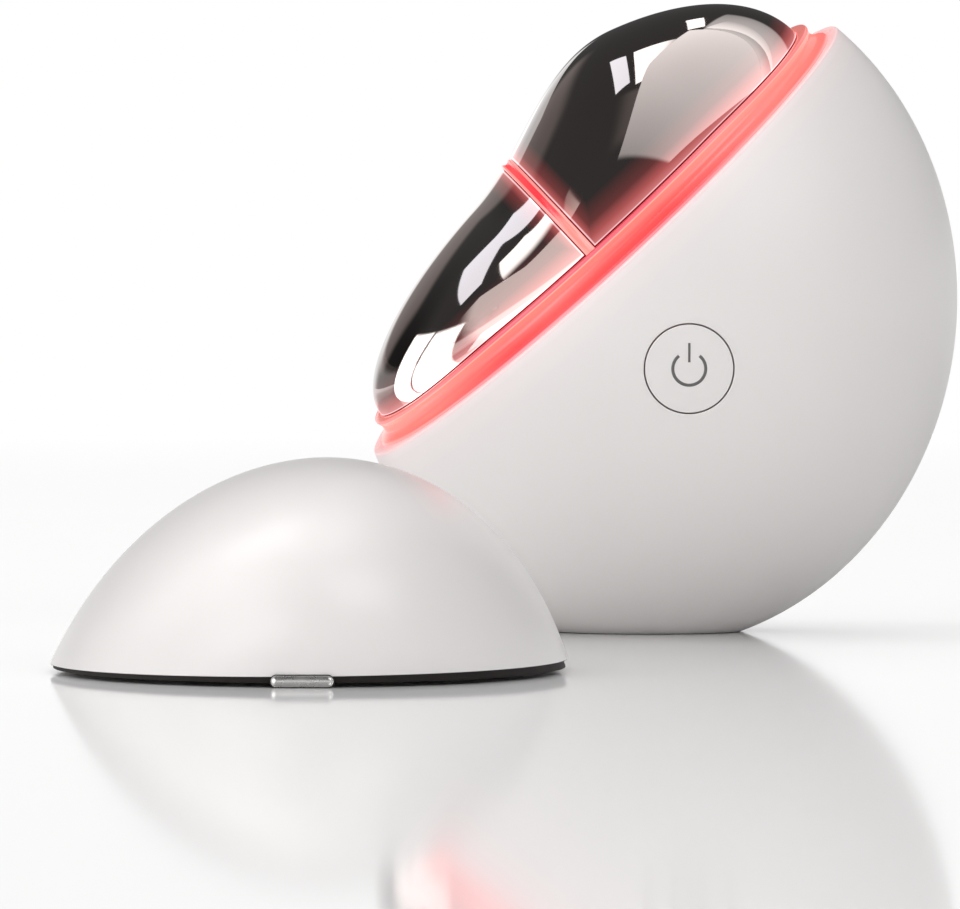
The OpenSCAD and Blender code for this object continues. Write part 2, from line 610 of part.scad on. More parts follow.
// Leads of the LED board and of the two electrodes.
module led_leads() color(RED) for (i = [0, 1]) wire(0.4, [
    cut_pt(led_lead_u[i], led_lead_v, deck_top + 0.2),
    cut_pt(led_lead_u[i], led_lead_v, deck_top - deck_t - 2.4),
    [i * 1.8, board_y + board_t + 0.9, board_z0 + board_w + 2], board_top(i * 1.8, 0.4)]);
module electrode_leads() color(STEEL) for (i = [0, 1]) let (p = lead_spots[i], x = 4 - i * 9.4) wire(0.4, [
    cut_pt(p[0], p[1], head_foot - carrier_t), cut_pt(p[0], p[1], deck_top - deck_t - 3),
    [x, board_y + board_t + 0.9, board_z0 + board_w + 2], board_top(x, 0.4)]);

// Power button, its symbol, the switch behind it and the small board that carries the switch.
tube_end = 22.6;
tube_r = button_d / 2 + button_gap + 1.5;
flange_r = tube_r - 0.3;
flange_t = 0.8;
stem_end = -tube_end + flange_t + 1.2;
key_face = stem_end + 1.4 + 2.6;
key_back = key_face;
key_screw_x = tube_r + 1.5;
key_half_l = key_screw_x + 1.6;
key_half_w = 3.1;
plunger_r = 1.5;
module button_rod(r, y0, y1) {
    translate([button_x, y1, button_z]) rotate([90, 0, 0]) cylinder(r = r, h = y1 - y0);
}
module icon_flat() {
    rotate([90, 0, 0]) {
        difference() {
            cylinder(r = icon_d / 2, h = 12);
            translate([0, 0, -1]) cylinder(r = icon_d / 2 - icon_line, h = 14);
            translate([0, 0, -1]) linear_extrude(14) polygon([[0, 0], [2.4, 3], [-2.4, 3]]);
        }
        translate([-icon_line / 2.6, 0.75, 0]) cube([icon_line / 1.3, 2.25, 12]);
    }
}
module power_button() color(PALE) difference() {
    union() {
        intersection() {
            egg(0);
            button_rod(button_d / 2, -big, -tube_end);
        }
        button_rod(flange_r, -tube_end + 0.02, -tube_end + flange_t);
        button_rod(1.6, -tube_end, stem_end);
    }
    difference() {
        translate([button_x, -20, button_z]) icon_flat();
        egg(0.15);
    }
}
module button_icon() color(GREY) difference() {
    intersection() {
        egg(0);
        translate([button_x, -20, button_z]) icon_flat();
    }
    egg(0.15);
}
module switch_plunger() color(DARK) button_rod(plunger_r, stem_end, stem_end + 2.6);
module switch_case() color(DARK) difference() {
    box([button_x - 3, stem_end + 1.4, button_z - 3], [button_x + 3, key_face, button_z + 3]);
    button_rod(plunger_r + 0.08, stem_end, stem_end + 3.2);
}
module key_board() color(GREEN) difference() {
    box([button_x - key_half_l, key_face, button_z - key_half_w],
        [button_x + key_half_l, key_face + 1, button_z + key_half_w]);
    for (s = [-1, 1]) translate([button_x + s * key_screw_x, key_face - 1, button_z]) rotate([-90, 0, 0])
        cylinder(r = 0.8, h = 4, $fn = 24);
}
module key_screws() color(STEEL) for (s = [-1, 1])
    translate([button_x + s * key_screw_x, key_face + 1, button_z]) rotate([90, 0, 0]) {
    translate([0, 0, -0.8]) cylinder(r = 1.4, h = 0.8, $fn = 32);
    cylinder(r = 0.6, h = 3.6, $fn = 24);
}
module button_boot() color(GREY) translate([button_x, -tube_end + flange_t, button_z])
    rotate([-90, 0, 0]) difference() {
    cylinder(r1 = 4.4, r2 = 5.6, h = key_face + tube_end - flange_t);
    translate([0, 0, -0.01]) cylinder(r1 = 3.9, r2 = 5.1, h = key_face + tube_end - flange_t + 0.02);
}
module key_leads() color(RED) for (i = [0, 1]) {
    x0 = button_x + 3 + i * 1.8;
    x1 = window[0][0] + 3.6 + i * 1.4;
    z1 = window[1][1] - 2.2;
    wire(0.35, [
        [x0, key_face + 1, button_z + 2], [x0, key_face + 3, button_z + 2.6], [x1, -10, z1],
        [x1, board_y + board_t + 0.6, z1], board_top(x1, 0.35)]);
}

// Cap.
function cap_side(s) = sqrt((1 - pow(cap_cut + (1 - cap_cut) * s, 2)) / (1 - cap_cut * cap_cut));
function cap_end(s) = pow(1 - pow(s, cap_full), 1 / cap_full);
function cap_pt(thin_l, thin_w, thin_h, s, a) = [
    (rim_l - thin_l) * cap_end(s) * cos(a) + rim_k * cap_side(s) * sin(a) + cap_lean_end * s,
    (rim_w - thin_w) * cap_side(s) * sin(a) + cap_lean_side * s, (cap_h - thin_h) * s];
cap_rows = 12;
function cap_s(i) = sin(90 * i / cap_rows);
cap_top_t = 1.2;
module cap_shell() color(PALE) cap_frame() difference() {
    double_skin(
        [for (i = [0 : cap_rows - 1]) [for (j = [0 : sides - 1]) cap_pt(0, 0, 0, cap_s(i), 360 * j / sides)]],
        [for (i = [0 : cap_rows - 1]) [for (j = [0 : sides - 1])
            cap_pt(cap_wall_end, cap_wall, cap_top_t, cap_s(i), 360 * j / sides)]],
        [cap_lean_end, cap_lean_side, cap_h], [cap_lean_end, cap_lean_side, cap_h - cap_top_t], true);
    tab_shape(0.02, 0.02);
}
module tab_shape(grow, deep) {
    translate([rim_l - 1.0 - deep, 0, tab_h / 2 - tab_drop]) rotate([0, 0, -90])
        stadium(tab_l + 2 * grow, tab_h + 2 * grow, 1.0 + tab_proud + deep);
}
module cap_tab() color(STEEL) cap_frame() tab_shape(0, 0);
module cap_buffers() color(GREY) cap_frame() for (s = [-1, 1])
    translate(rim_pt(0.65, 0.65, 180 + s * buffer_angle, -tab_drop))
        cylinder(r = buffer_r, h = tab_drop, $fn = 24);
seal_gap = 0.03;
function bead_in(h, a) = let (
    low = cap_pt(cap_wall_end + seal_gap, cap_wall + seal_gap, cap_top_t, 0, a),
    high = cap_pt(cap_wall_end + seal_gap, cap_wall + seal_gap, cap_top_t, cap_s(1), a))
    low + (high - low) * h / high[2];
module cap_seal() color(GREY) cap_frame() closed_skin([for (i = [0 : sides - 1]) let (a = 360 * i / sides) [
    bead_in(1.5, a), ring_pt(lip_inset + 0.1, 1.8, a), ring_pt(lip_inset + 0.12, 2.2, a), bead_in(2.6, a)]]);

front_shell();
back_shell();
light_ring();
divider_guide();
upper_electrode();
lower_electrode();
head_carrier();
carrier_screws();
ring_gasket();
led_board();
red_leds();
led_leads();
electrode_leads();
chassis();
frame_screws();
foot_screws();
foot_pad();
motor_can();
motor_sleeve();
motor_weight();
motor_leads();
main_board();
board_chips();
board_screws();
usb_socket();
usb_tongue();
battery_tape();
battery();
battery_leads();
power_button();
button_icon();
switch_plunger();
switch_case();
key_board();
key_screws();
button_boot();
key_leads();
cap_shell();
cap_tab();
cap_buffers();
cap_seal();
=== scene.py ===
"""Looks of the electric gua sha tool: smooth shells, lit ring, mirror head, button and cap."""
import math

import bmesh
import bpy
import numpy as np
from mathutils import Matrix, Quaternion, Vector


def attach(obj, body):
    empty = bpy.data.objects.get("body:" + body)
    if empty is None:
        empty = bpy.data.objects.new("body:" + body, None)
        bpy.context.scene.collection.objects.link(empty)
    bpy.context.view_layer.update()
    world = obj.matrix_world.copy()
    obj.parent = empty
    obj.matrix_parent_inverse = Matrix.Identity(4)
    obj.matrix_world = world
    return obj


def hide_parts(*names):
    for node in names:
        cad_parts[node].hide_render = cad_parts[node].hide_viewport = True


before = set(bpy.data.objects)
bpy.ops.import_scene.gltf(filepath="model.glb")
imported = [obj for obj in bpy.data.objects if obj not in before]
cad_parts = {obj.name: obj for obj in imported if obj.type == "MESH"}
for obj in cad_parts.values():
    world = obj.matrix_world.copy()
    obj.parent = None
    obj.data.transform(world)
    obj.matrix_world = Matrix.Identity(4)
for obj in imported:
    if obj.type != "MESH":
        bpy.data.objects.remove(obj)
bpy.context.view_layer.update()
MM = 0.001

# Sizes of the body, in millimetres. The origin is the centre of the foot, Z is up and the button faces -Y.
BODY_HALF = np.array([36.5, 29.0, 41.1])
BODY_CENTRE = np.array([0.65, 0.0, 39.1])
BODY_LEAN = math.radians(4.5)
WALL = 1.8
FLOOR = 3.0

# The slanted cut.
CUT_ANGLE = math.radians(42.7)
CUT_TILT = math.radians(7.1)
CUT_OFFSET = 9.65

# Light ring.
RING_H = 3.7
RING_SKIRT = 3.2
SHOULDER = 1.15
LIP_INSET = 3.0
LIP_INSET_END = 2.6
LIP_W = 0.97
LIP_W_END = 1.14
COVE = 0.3
LEDGE = 1.5
GAP = 0.1

# How much lower the ring's lip is along its sides and at its ends, and between which distances it changes.
LIP_DIP = 0.45
LIP_DIP_END = 1.0
DIP_FROM, DIP_TO = 16.0, 34.0

# Head.
HEAD_SHIFT = -0.2
HEAD_FOOT = RING_H - 1.1
LOW_LOBE = 10.6
HIGH_LOBE = 17.8
RISE_FROM = -9.4
RISE_TO = 17.6
METAL = 1.4
DIVIDER_W = 1.3
DIVIDER_AT = -2.5

# Cap.
CAP_AT = np.array([-38.4, -98.5, 0.5])
CAP_H = 22.6
CAP_WALL = 1.0
CAP_WALL_END = 1.3
CAP_TOP = 1.2
CAP_LEAN_END = 3.4
CAP_LEAN_SIDE = 1.9
CAP_CUT = 0.42
CAP_FULL = 2.5
CAP_LEVELS = 80

# Step under the cap's wall, with its band painted in the dark rubber finish as shade: its mean height, how
# much that changes from side to side, and its set-back.
CAP_STEP = 0.58
CAP_STEP_LEAN = 0.24
CAP_STEP_IN = 0.5
CAP_SHADE_BANDS = 2

# Cap's metal tab: its half sizes, its middle's height and the width of the slot round it, which is painted
# dark as shade.
TAB_HALF = (3.22, 0.57)
TAB_Z = 0.7
TAB_SLOT = 0.13
TAB_TURNS = 96

# Loops of the tab from its back to its face: how far each is inset and how far it stands off the rim's end.
TAB_LOOPS = [(0, -1.0), (-TAB_SLOT, -1.0), (-TAB_SLOT, 0.27), (-0.02, 0.27), (0.01, 0.14), (0.06, 0.22),
             (0.14, 0.28), (0.27, 0.33), (0.42, 0.35), (0.54, 0.36)]
TAB_SHADE_BANDS = 3

# Button and its symbol. Behind the face are a flange and a stem, as radii and depths.
BUTTON_AT = (4.4, 31.8)
BUTTON_R = 5.15
BUTTON_GAP = 0.15
BUTTON_BEHIND = [(5.15, -22.58), (6.5, -22.58), (6.5, -22.24), (1.1, -22.24), (1.1, -20.6)]
ICON_R = 2.1
ICON_LINE = 0.36
ICON_BAR = 0.28
ICON_BAR_FROM, ICON_BAR_TO = 0.75, 3.0
ICON_OPEN = math.radians(38.7)

# Charging socket's mouth.
USB_AT = (0.65, 12.0)
USB_HALF = (4.7, 1.85)

# Width of the mesh that is laid round each hole in the shells.
HOLE_MARGIN = 4.0

Y_AXIS, Z_AXIS = np.eye(3)[1:]


def unit(v):
    return v / np.linalg.norm(v)


def xyz(x, y, z):
    return np.stack(np.broadcast_arrays(x, y, z), -1)


# Axes of the egg and of the cut: ALONG the slope, ACROSS it and OUT of it.
AXIS_W = np.array([math.cos(BODY_LEAN), 0, -math.sin(BODY_LEAN)])
AXIS_H = np.array([math.sin(BODY_LEAN), 0, math.cos(BODY_LEAN)])
EGG_AXES = np.column_stack([AXIS_W, Y_AXIS, AXIS_H])
ALONG = np.array([math.cos(CUT_ANGLE), 0, math.sin(CUT_ANGLE)])
OUT = np.array([
    -math.sin(CUT_ANGLE) * math.cos(CUT_TILT),
    -math.sin(CUT_TILT),
    math.cos(CUT_ANGLE) * math.cos(CUT_TILT)])
ACROSS = np.cross(OUT, ALONG)
CUT_AXES = np.column_stack([ALONG, ACROSS, OUT])

egg_out = BODY_HALF * (EGG_AXES.T @ OUT)
cut_share = CUT_OFFSET / np.linalg.norm(egg_out)
rim_shrink = math.sqrt(1 - cut_share ** 2)
RIM_CENTRE = BODY_CENTRE + EGG_AXES @ (BODY_HALF * unit(egg_out)) * cut_share
rim_p = unit(np.cross(BODY_HALF * (EGG_AXES.T @ ACROSS), egg_out))
rim_q = np.cross(unit(egg_out), rim_p)
along_p = rim_shrink * ALONG @ EGG_AXES @ (BODY_HALF * rim_p)
along_q = rim_shrink * ALONG @ EGG_AXES @ (BODY_HALF * rim_q)
across_q = rim_shrink * ACROSS @ EGG_AXES @ (BODY_HALF * rim_q)
RIM_L = abs(along_p)
RIM_W = abs(across_q)
RIM_K = along_q * math.copysign(1, across_q)
HEAD_L = RIM_L - LIP_INSET_END - LIP_W_END - GAP
HEAD_W = RIM_W - LIP_INSET - LIP_W - GAP


def rim_points(inset_l, inset_w, turn, height):
    x = (RIM_L - inset_l) * np.cos(turn) + RIM_K * (1 - inset_w / RIM_W) * np.sin(turn)
    return xyz(x, (RIM_W - inset_w) * np.sin(turn), height)


def lip_height(x):
    """The lip's height over the cut at a distance along the slope: it dips a little towards both ends."""
    t = np.clip((np.abs(x) - DIP_FROM) / (DIP_TO - DIP_FROM), 0, 1)
    return RING_H - LIP_DIP - (LIP_DIP_END - LIP_DIP) * t * t * (3 - 2 * t)


def ring_points(inset, height, turn):
    end = SHOULDER * 1.2 + (inset - SHOULDER) * (LIP_INSET_END - SHOULDER * 1.2) / (LIP_INSET - SHOULDER)
    points = rim_points(end, inset, turn, height)
    points[..., 2] *= lip_height(points[..., 0]) / RING_H
    return points


def head_points(grow, turn, height):
    x = HEAD_SHIFT + (HEAD_L + grow) * np.cos(turn)
    return xyz(x, (HEAD_W + grow) * np.sin(turn), height)


def from_cut(points):
    return RIM_CENTRE + points @ CUT_AXES.T


def from_cap(points):
    """The parked cap's own axes: its long side runs towards the viewer."""
    turned = np.stack([points[..., 1], -points[..., 0], points[..., 2]], -1)
    return CAP_AT + turned


# Mesh helpers. Every shape is a set of point grids, in millimetres, that share one list of points.
class Shape:
    def __init__(self):
        self.points = []
        self.faces = []
        self.weights = {}
        self.count = 0

    def add(self, grid):
        """Adds a grid of points and gives back their numbers, in the grid's own layout."""
        grid = np.asarray(grid, float)
        self.points.append(grid.reshape(-1, 3))
        numbers = np.arange(self.count, self.count + grid.size // 3).reshape(grid.shape[:-1])
        self.count += grid.size // 3
        return numbers

    def quads(self, low, high, closed=False, flip=False):
        """Quads between two rows of points."""
        n = len(low)
        for j in range(n if closed else n - 1):
            k = (j + 1) % n
            face = (low[j], low[k], high[k], high[j])
            self.faces.append(face[::-1] if flip else face)

    def skin(self, grid, closed=False, flip=False):
        for low, high in zip(grid[:-1], grid[1:]):
            self.quads(low, high, closed, flip)

    def fan(self, tip, row, closed=True, flip=False):
        n = len(row)
        for j in range(n if closed else n - 1):
            face = (tip, row[j], row[(j + 1) % n])
            self.faces.append(face[::-1] if flip else face)

    def weigh(self, row, weight, closed=False):
        """Gives the edges along a row their share of the rounding."""
        for a, b in zip(row, np.roll(row, -1)) if closed else zip(row[:-1], row[1:]):
            self.weights[(min(a, b), max(a, b))] = weight

    def make(self, name, body, material, rounding=0.0, segments=3, replaces=()):
        mesh = bpy.data.meshes.new(name)
        points = np.concatenate(self.points) * MM
        mesh.from_pydata(points.tolist(), [], [tuple(int(i) for i in f) for f in self.faces])
        turned = bmesh.new()
        turned.from_mesh(mesh)
        bmesh.ops.recalc_face_normals(turned, faces=turned.faces)
        turned.to_mesh(mesh)
        turned.free()
        mesh.polygons.foreach_set("use_smooth", [True] * len(mesh.polygons))
        mesh.materials.append(material)
        piece = bpy.data.objects.new(name, mesh)
        bpy.context.scene.collection.objects.link(piece)
        if rounding:
            weights = mesh.attributes.new("bevel_weight_edge", "FLOAT", "EDGE")
            pairs = {tuple(sorted(e.vertices)): e.index for e in mesh.edges}
            for pair, weight in self.weights.items():
                weights.data[pairs[pair]].value = weight
            bevel = piece.modifiers.new("rounded_edges", "BEVEL")
            bevel.limit_method = "WEIGHT"
            bevel.width = rounding * MM
            bevel.segments = segments
            bevel.harden_normals = True
        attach(piece, body)
        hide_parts(*replaces)
        return piece


def smooth_rows(rows, first, last, parts):
    """Rows with extra ones on a smooth curve (Catmull-Rom) through those from first to last."""
    made = list(rows[:first])
    for i in range(first, last):
        before, a, b, after = rows[max(i - 1, first)], rows[i], rows[i + 1], rows[min(i + 2, last)]
        for k in range(parts):
            t = k / parts
            made.append(0.5 * (2 * a + (b - before) * t + (2 * before - 5 * a + 4 * b - after) * t ** 2
                               + (3 * a - before - 3 * b + after) * t ** 3))
    return made + list(rows[last:])


# Materials. The moulded grain has one fineness and one depth, in millimetres.
GRAIN_SCALE = 2500.0
GRAIN_DEPTH = 0.02


def calc(tree, operation, *values):
    """A Math node: each value is a number or another node's output."""
    node = tree.nodes.new("ShaderNodeMath")
    node.operation = operation
    for socket, value in zip(node.inputs, values):
        if isinstance(value, bpy.types.NodeSocket):
            tree.links.new(value, socket)
        else:
            socket.default_value = value
    return node.outputs["Value"]


def ease(tree, value, start, end, low=0.0, high=1.0):
    """A smooth step of a value from low at start to high at end."""
    node = tree.nodes.new("ShaderNodeMapRange")
    node.interpolation_type = "SMOOTHSTEP"
    sockets = ("Value", "From Min", "From Max", "To Min", "To Max")
    for name, given in zip(sockets, (value, start, end, low, high)):
        if isinstance(given, bpy.types.NodeSocket):
            tree.links.new(given, node.inputs[name])
        else:
            node.inputs[name].default_value = given
    return node.outputs["Result"]


def colours_along(tree, value, stops):
    """Colours at distances in millimetres, blended in between."""
    first, last = stops[0][0], stops[-1][0]
    ramp = tree.nodes.new("ShaderNodeValToRGB")
    elements = ramp.color_ramp.elements
    while len(elements) < len(stops):
        elements.new(1)
    for element, (at, colour) in zip(elements, stops):
        element.position = (at - first) / (last - first)
        element.color = (*colour, 1)
    share = calc(tree, "MULTIPLY_ADD", value, 1 / MM / (last - first), -first / (last - first))
    tree.links.new(share, ramp.inputs["Fac"])
    return ramp.outputs["Color"]


def blend(tree, share, first, second, way="MIX"):
    """A Mix node for colours, with each colour a triple or another node's output."""
    node = tree.nodes.new("ShaderNodeMix")
    node.data_type = "RGBA"
    node.blend_type = way
    for name, given in (("Factor", share), ("A", first), ("B", second)):
        if isinstance(given, bpy.types.NodeSocket):
            tree.links.new(given, node.inputs[name])
        else:
            node.inputs[name].default_value = given if name == "Factor" else (*given, 1)
    return node.outputs["Result"]


def cut_distance(tree, axis):
    """How far a point of the surface is along one of the cut's axes, in metres from the rim's centre."""
    place = tree.nodes.new("ShaderNodeTexCoord")
    dot = tree.nodes.new("ShaderNodeVectorMath")
    dot.operation = "DOT_PRODUCT"
    dot.inputs[1].default_value = axis.tolist()
    tree.links.new(place.outputs["Object"], dot.inputs[0])
    return calc(tree, "SUBTRACT", dot.outputs["Value"], float(RIM_CENTRE @ axis) * MM)


def lip_distance(tree):
    """Height over the cut, stretched so that the ring's lip is at its full height everywhere."""
    away = calc(tree, "ABSOLUTE", cut_distance(tree, ALONG))
    dip = ease(tree, away, DIP_FROM * MM, DIP_TO * MM, LIP_DIP / RING_H, LIP_DIP_END / RING_H)
    return calc(tree, "DIVIDE", cut_distance(tree, OUT), calc(tree, "SUBTRACT", 1, dip))


def material(name, colour, roughness, metallic=0.0, shade=0.0, shade_scale=40.0, grain=0.0,
             coat=0.0, coat_roughness=0.1, wear=0.0):
    """A surface with a slow drift of colour, a fine moulded grain and an uneven gloss."""
    made = bpy.data.materials.new(name)
    made.use_nodes = True
    nodes, links = made.node_tree.nodes, made.node_tree.links
    shader = nodes["Principled BSDF"]
    shader.inputs["Base Color"].default_value = (*colour, 1)
    shader.inputs["Roughness"].default_value = roughness
    shader.inputs["Metallic"].default_value = metallic
    shader.inputs["Coat Weight"].default_value = coat
    shader.inputs["Coat Roughness"].default_value = coat_roughness
    place = nodes.new("ShaderNodeTexCoord")
    if shade:
        drift = nodes.new("ShaderNodeTexNoise")
        drift.inputs["Scale"].default_value = shade_scale
        drift.inputs["Detail"].default_value = 3
        ramp = nodes.new("ShaderNodeValToRGB")
        ramp.color_ramp.elements[0].position = 0.35
        ramp.color_ramp.elements[1].position = 0.65
        ramp.color_ramp.elements[0].color = (*[c * (1 - shade) for c in colour], 1)
        ramp.color_ramp.elements[1].color = (*[min(1, c * (1 + shade)) for c in colour], 1)
        links.new(place.outputs["Object"], drift.inputs["Vector"])
        links.new(drift.outputs["Fac"], ramp.inputs["Fac"])
        links.new(ramp.outputs["Color"], shader.inputs["Base Color"])
    if wear:
        cloud = nodes.new("ShaderNodeTexNoise")
        cloud.inputs["Scale"].default_value = shade_scale * 3
        cloud.inputs["Detail"].default_value = 4
        span = nodes.new("ShaderNodeMapRange")
        span.inputs["From Min"].default_value = 0.3
        span.inputs["From Max"].default_value = 0.7
        span.inputs["To Min"].default_value = roughness * (1 - wear)
        span.inputs["To Max"].default_value = roughness * (1 + wear)
        links.new(place.outputs["Object"], cloud.inputs["Vector"])
        links.new(cloud.outputs["Fac"], span.inputs["Value"])
        links.new(span.outputs["Result"], shader.inputs["Roughness"])
    if grain:
        fine = nodes.new("ShaderNodeTexNoise")
        fine.inputs["Scale"].default_value = GRAIN_SCALE
        fine.inputs["Detail"].default_value = 2
        bump = nodes.new("ShaderNodeBump")
        bump.inputs["Strength"].default_value = grain
        bump.inputs["Distance"].default_value = GRAIN_DEPTH * MM
        links.new(place.outputs["Object"], fine.inputs["Vector"])
        links.new(fine.outputs["Fac"], bump.inputs["Height"])
        links.new(bump.outputs["Normal"], shader.inputs["Normal"])
    return made


WHITE = (0.80, 0.775, 0.765)
shell_white = material("shell_white", WHITE, 0.42, shade=0.006, grain=0.15, wear=0.05, coat=0.15,
                       coat_roughness=0.35)
cap_white = material("cap_white", WHITE, 0.36, shade=0.006, grain=0.12, wear=0.05, coat=0.25,
                     coat_roughness=0.3)
button_white = material("button_white", WHITE, 0.4, shade=0.006, grain=0.12, wear=0.05, coat=0.15,
                        coat_roughness=0.35)
dark_chrome = material("dark_chrome", (0.39, 0.345, 0.33), 0.035, metallic=1.0, shade=0.02, wear=0.25)
bright_metal = material("bright_metal", (0.80, 0.80, 0.81), 0.16, metallic=1.0, shade=0.03, wear=0.3,
                        grain=0.1)
icon_grey = material("icon_grey", (0.125, 0.12, 0.116), 0.5, shade=0.04, grain=0.1)
FINISHES = {
    "grey_plastic": material("grey_plastic", (0.27, 0.27, 0.28), 0.5, shade=0.05, grain=0.4, wear=0.1),
    "soft_grey": material("soft_grey", (0.32, 0.31, 0.30), 0.7, shade=0.05, grain=0.5, wear=0.1),
    "steel": material("steel", (0.55, 0.55, 0.57), 0.28, metallic=1.0, shade=0.05, wear=0.3),
    "wire_grey": material("wire_grey", (0.17, 0.17, 0.18), 0.5, shade=0.05, grain=0.3),
    "dark_rubber": material("dark_rubber", (0.024, 0.019, 0.018), 0.75, shade=0.1, grain=0.7, wear=0.1),
    "green_board": material("green_board", (0.01, 0.09, 0.03), 0.3, shade=0.1, grain=0.2, wear=0.2),
    "wire_red": material("wire_red", (0.34, 0.012, 0.01), 0.4, shade=0.06, grain=0.3),
    "dark_plastic": material("dark_plastic", (0.014, 0.014, 0.016), 0.45, shade=0.1, grain=0.4, wear=0.1),
    "battery_foil": material("battery_foil", (0.45, 0.45, 0.47), 0.3, metallic=1.0, shade=0.05, wear=0.3),
    "bright_metal": bright_metal,
}


def lit(name, by_height, across, pale):
    """Lit translucent plastic. Its glow changes with the height over the cut, and a little along its way."""
    made = material(name, (0.30, 0.02, 0.02), 0.25, coat=0.3, coat_roughness=0.1)
    tree = made.node_tree
    shader = tree.nodes["Principled BSDF"]
    place = tree.nodes.new("ShaderNodeTexCoord")
    spots = tree.nodes.new("ShaderNodeTexNoise")
    spots.inputs["Scale"].default_value = 55
    spots.inputs["Detail"].default_value = 1
    tree.links.new(place.outputs["Object"], spots.inputs["Vector"])
    glow = colours_along(tree, cut_distance(tree, OUT) if across else lip_distance(tree), by_height)
    along = cut_distance(tree, ALONG)
    if across:
        # The divider's lips are painted paler, as a painted highlight.
        off = calc(tree, "ABSOLUTE", calc(tree, "SUBTRACT", along, DIVIDER_AT * MM))
        edge = ease(tree, off, 0.24 * DIVIDER_W * MM, 0.34 * DIVIDER_W * MM, 0, 0.75)
        glow = blend(tree, edge, glow, (1, 0.45, 0.40))
    else:
        ends = ease(tree, calc(tree, "ABSOLUTE", along), 16 * MM, 33 * MM, 0, 0.45)
        glow = blend(tree, ends, glow, (1, 0.42, 0.34))
    glow = blend(tree, ease(tree, spots.outputs["Fac"], 0.4, 0.75, 0, 0.2), glow, pale)
    tree.links.new(glow, shader.inputs["Emission Color"])
    shader.inputs["Emission Strength"].default_value = 1.0
    return made


def paint_ring_glow_on_metal(made):
    """Painted light on the metal: red emission from the ring and the divider that fades away from each, with
    painted shade along each gap and a painted highlight along each edge.
    """
    tree = made.node_tree
    shader = tree.nodes["Principled BSDF"]
    height = lip_distance(tree)
    off = calc(tree, "ABSOLUTE", calc(tree, "SUBTRACT", cut_distance(tree, ALONG), DIVIDER_AT * MM))
    # Painted ring light: red emission on the metal that fades out above the lip.
    painted_ring_glow = colours_along(tree, height, [
        (3.6, GAP_SHADE_RED), (3.84, GAP_SHADE_RED), (3.89, EDGE_HIGHLIGHT_PINK), (3.97, EDGE_HIGHLIGHT_PINK), (4.07, (0.60, 0.16, 0.16)),
        (5.0, (0.40, 0.07, 0.07)), (6.4, (0.10, 0.012, 0.012)), (8.8, (0, 0, 0))])
    # Painted divider light: red emission on the metal that fades out beside the divider.
    painted_divider_glow = colours_along(tree, off, [
        (0.6, GAP_SHADE_RED), (0.80, GAP_SHADE_RED), (0.86, EDGE_HIGHLIGHT_PINK), (0.96, EDGE_HIGHLIGHT_PINK), (1.08, (0.45, 0.08, 0.08)),
        (1.9, (0.14, 0.018, 0.018)), (3.6, (0, 0, 0))])
    both = blend(tree, 1.0, painted_ring_glow, painted_divider_glow, "LIGHTEN")
    # Painted shade in the gaps: a dark base colour and dark red emission.
    gap = calc(tree, "MAXIMUM", ease(tree, height, 3.86 * MM, 3.90 * MM, 1, 0),
               ease(tree, off, 0.81 * MM, 0.86 * MM, 1, 0))
    old = shader.inputs["Base Color"].links[0].from_socket
    tree.links.new(blend(tree, gap, old, (0.05, 0.004, 0.006)), shader.inputs["Base Color"])
    tree.links.new(blend(tree, gap, both, GAP_SHADE_RED), shader.inputs["Emission Color"])
    shader.inputs["Emission Strength"].default_value = 1.0


def paint_ring_glow_on_shell(made):
    """Painted ring light on the shell: the base colour turns pink at the cut, and a red emission fades out
    over 9 mm below it.
    """
    tree = made.node_tree
    shader = tree.nodes["Principled BSDF"]
    height = cut_distance(tree, OUT)
    old = shader.inputs["Base Color"].links[0].from_socket
    # The base colour is painted pink at the cut, and the emission paints the ring's light on the shell.
    edge = ease(tree, height, -0.5 * MM, 0.0)
    tree.links.new(blend(tree, edge, old, (0.80, 0.66, 0.66)), shader.inputs["Base Color"])
    glow = colours_along(tree, height, [
        (-9, (0, 0, 0)), (-4, (0.014, 0.003, 0.004)), (-1.2, (0.05, 0.014, 0.017)),
        (-0.35, (0.11, 0.04, 0.045)), (0, (0.24, 0.09, 0.09)), (1, (0.3, 0.08, 0.08))])
    tree.links.new(glow, shader.inputs["Emission Color"])
    shader.inputs["Emission Strength"].default_value = 1.0


# Dark red painted as the shade in the gaps round the lit plastic.
GAP_SHADE_RED = (0.22, 0.0, 0.006)
# Pale pink painted on the metal's edges beside the gaps, as a highlight.
EDGE_HIGHLIGHT_PINK = (1, 0.58, 0.60)
# The ring's glow by height: pale pink at the shoulder lip, its own pink with painted light from the white
# shell; a painted shade line at 0.45 mm in the crease; a painted highlight at 3.12 mm on the lip's edge;
# painted gap shade at the top.
ring_red = lit("ring_red", [
    (-3.3, (1, 0.10, 0.12)), (-0.1, (1, 0.30, 0.34)), (0.25, (0.95, 0.30, 0.34)), (0.45, (0.60, 0.01, 0.025)),
    (0.62, (0.98, 0.03, 0.04)), (1.5, (1, 0.09, 0.085)), (2.2, (1, 0.175, 0.155)), (3.0, (1, 0.25, 0.205)),
    (3.12, (1, 0.50, 0.36)), (3.26, (0.95, 0.16, 0.22)), (3.6, (0.90, 0.12, 0.17)), (3.72, GAP_SHADE_RED)],
    False, (1, 0.5, 0.42))
# The divider's glow by height: paler low down, and deep red on the upper half as painted shade in the
# channel.
divider_red = lit("divider_red", [
    (3, (1, 0.34, 0.29)), (7.6, (1, 0.28, 0.24)), (9, (1, 0.02, 0.04)), (15, (1, 0.03, 0.05))],
    True, (1, 0.3, 0.27))
paint_ring_glow_on_metal(dark_chrome)
paint_ring_glow_on_shell(shell_white)
FINISHES["red_light"] = material("red_lens", (0.75, 0.06, 0.05), 0.25, shade=0.05, coat=0.3)

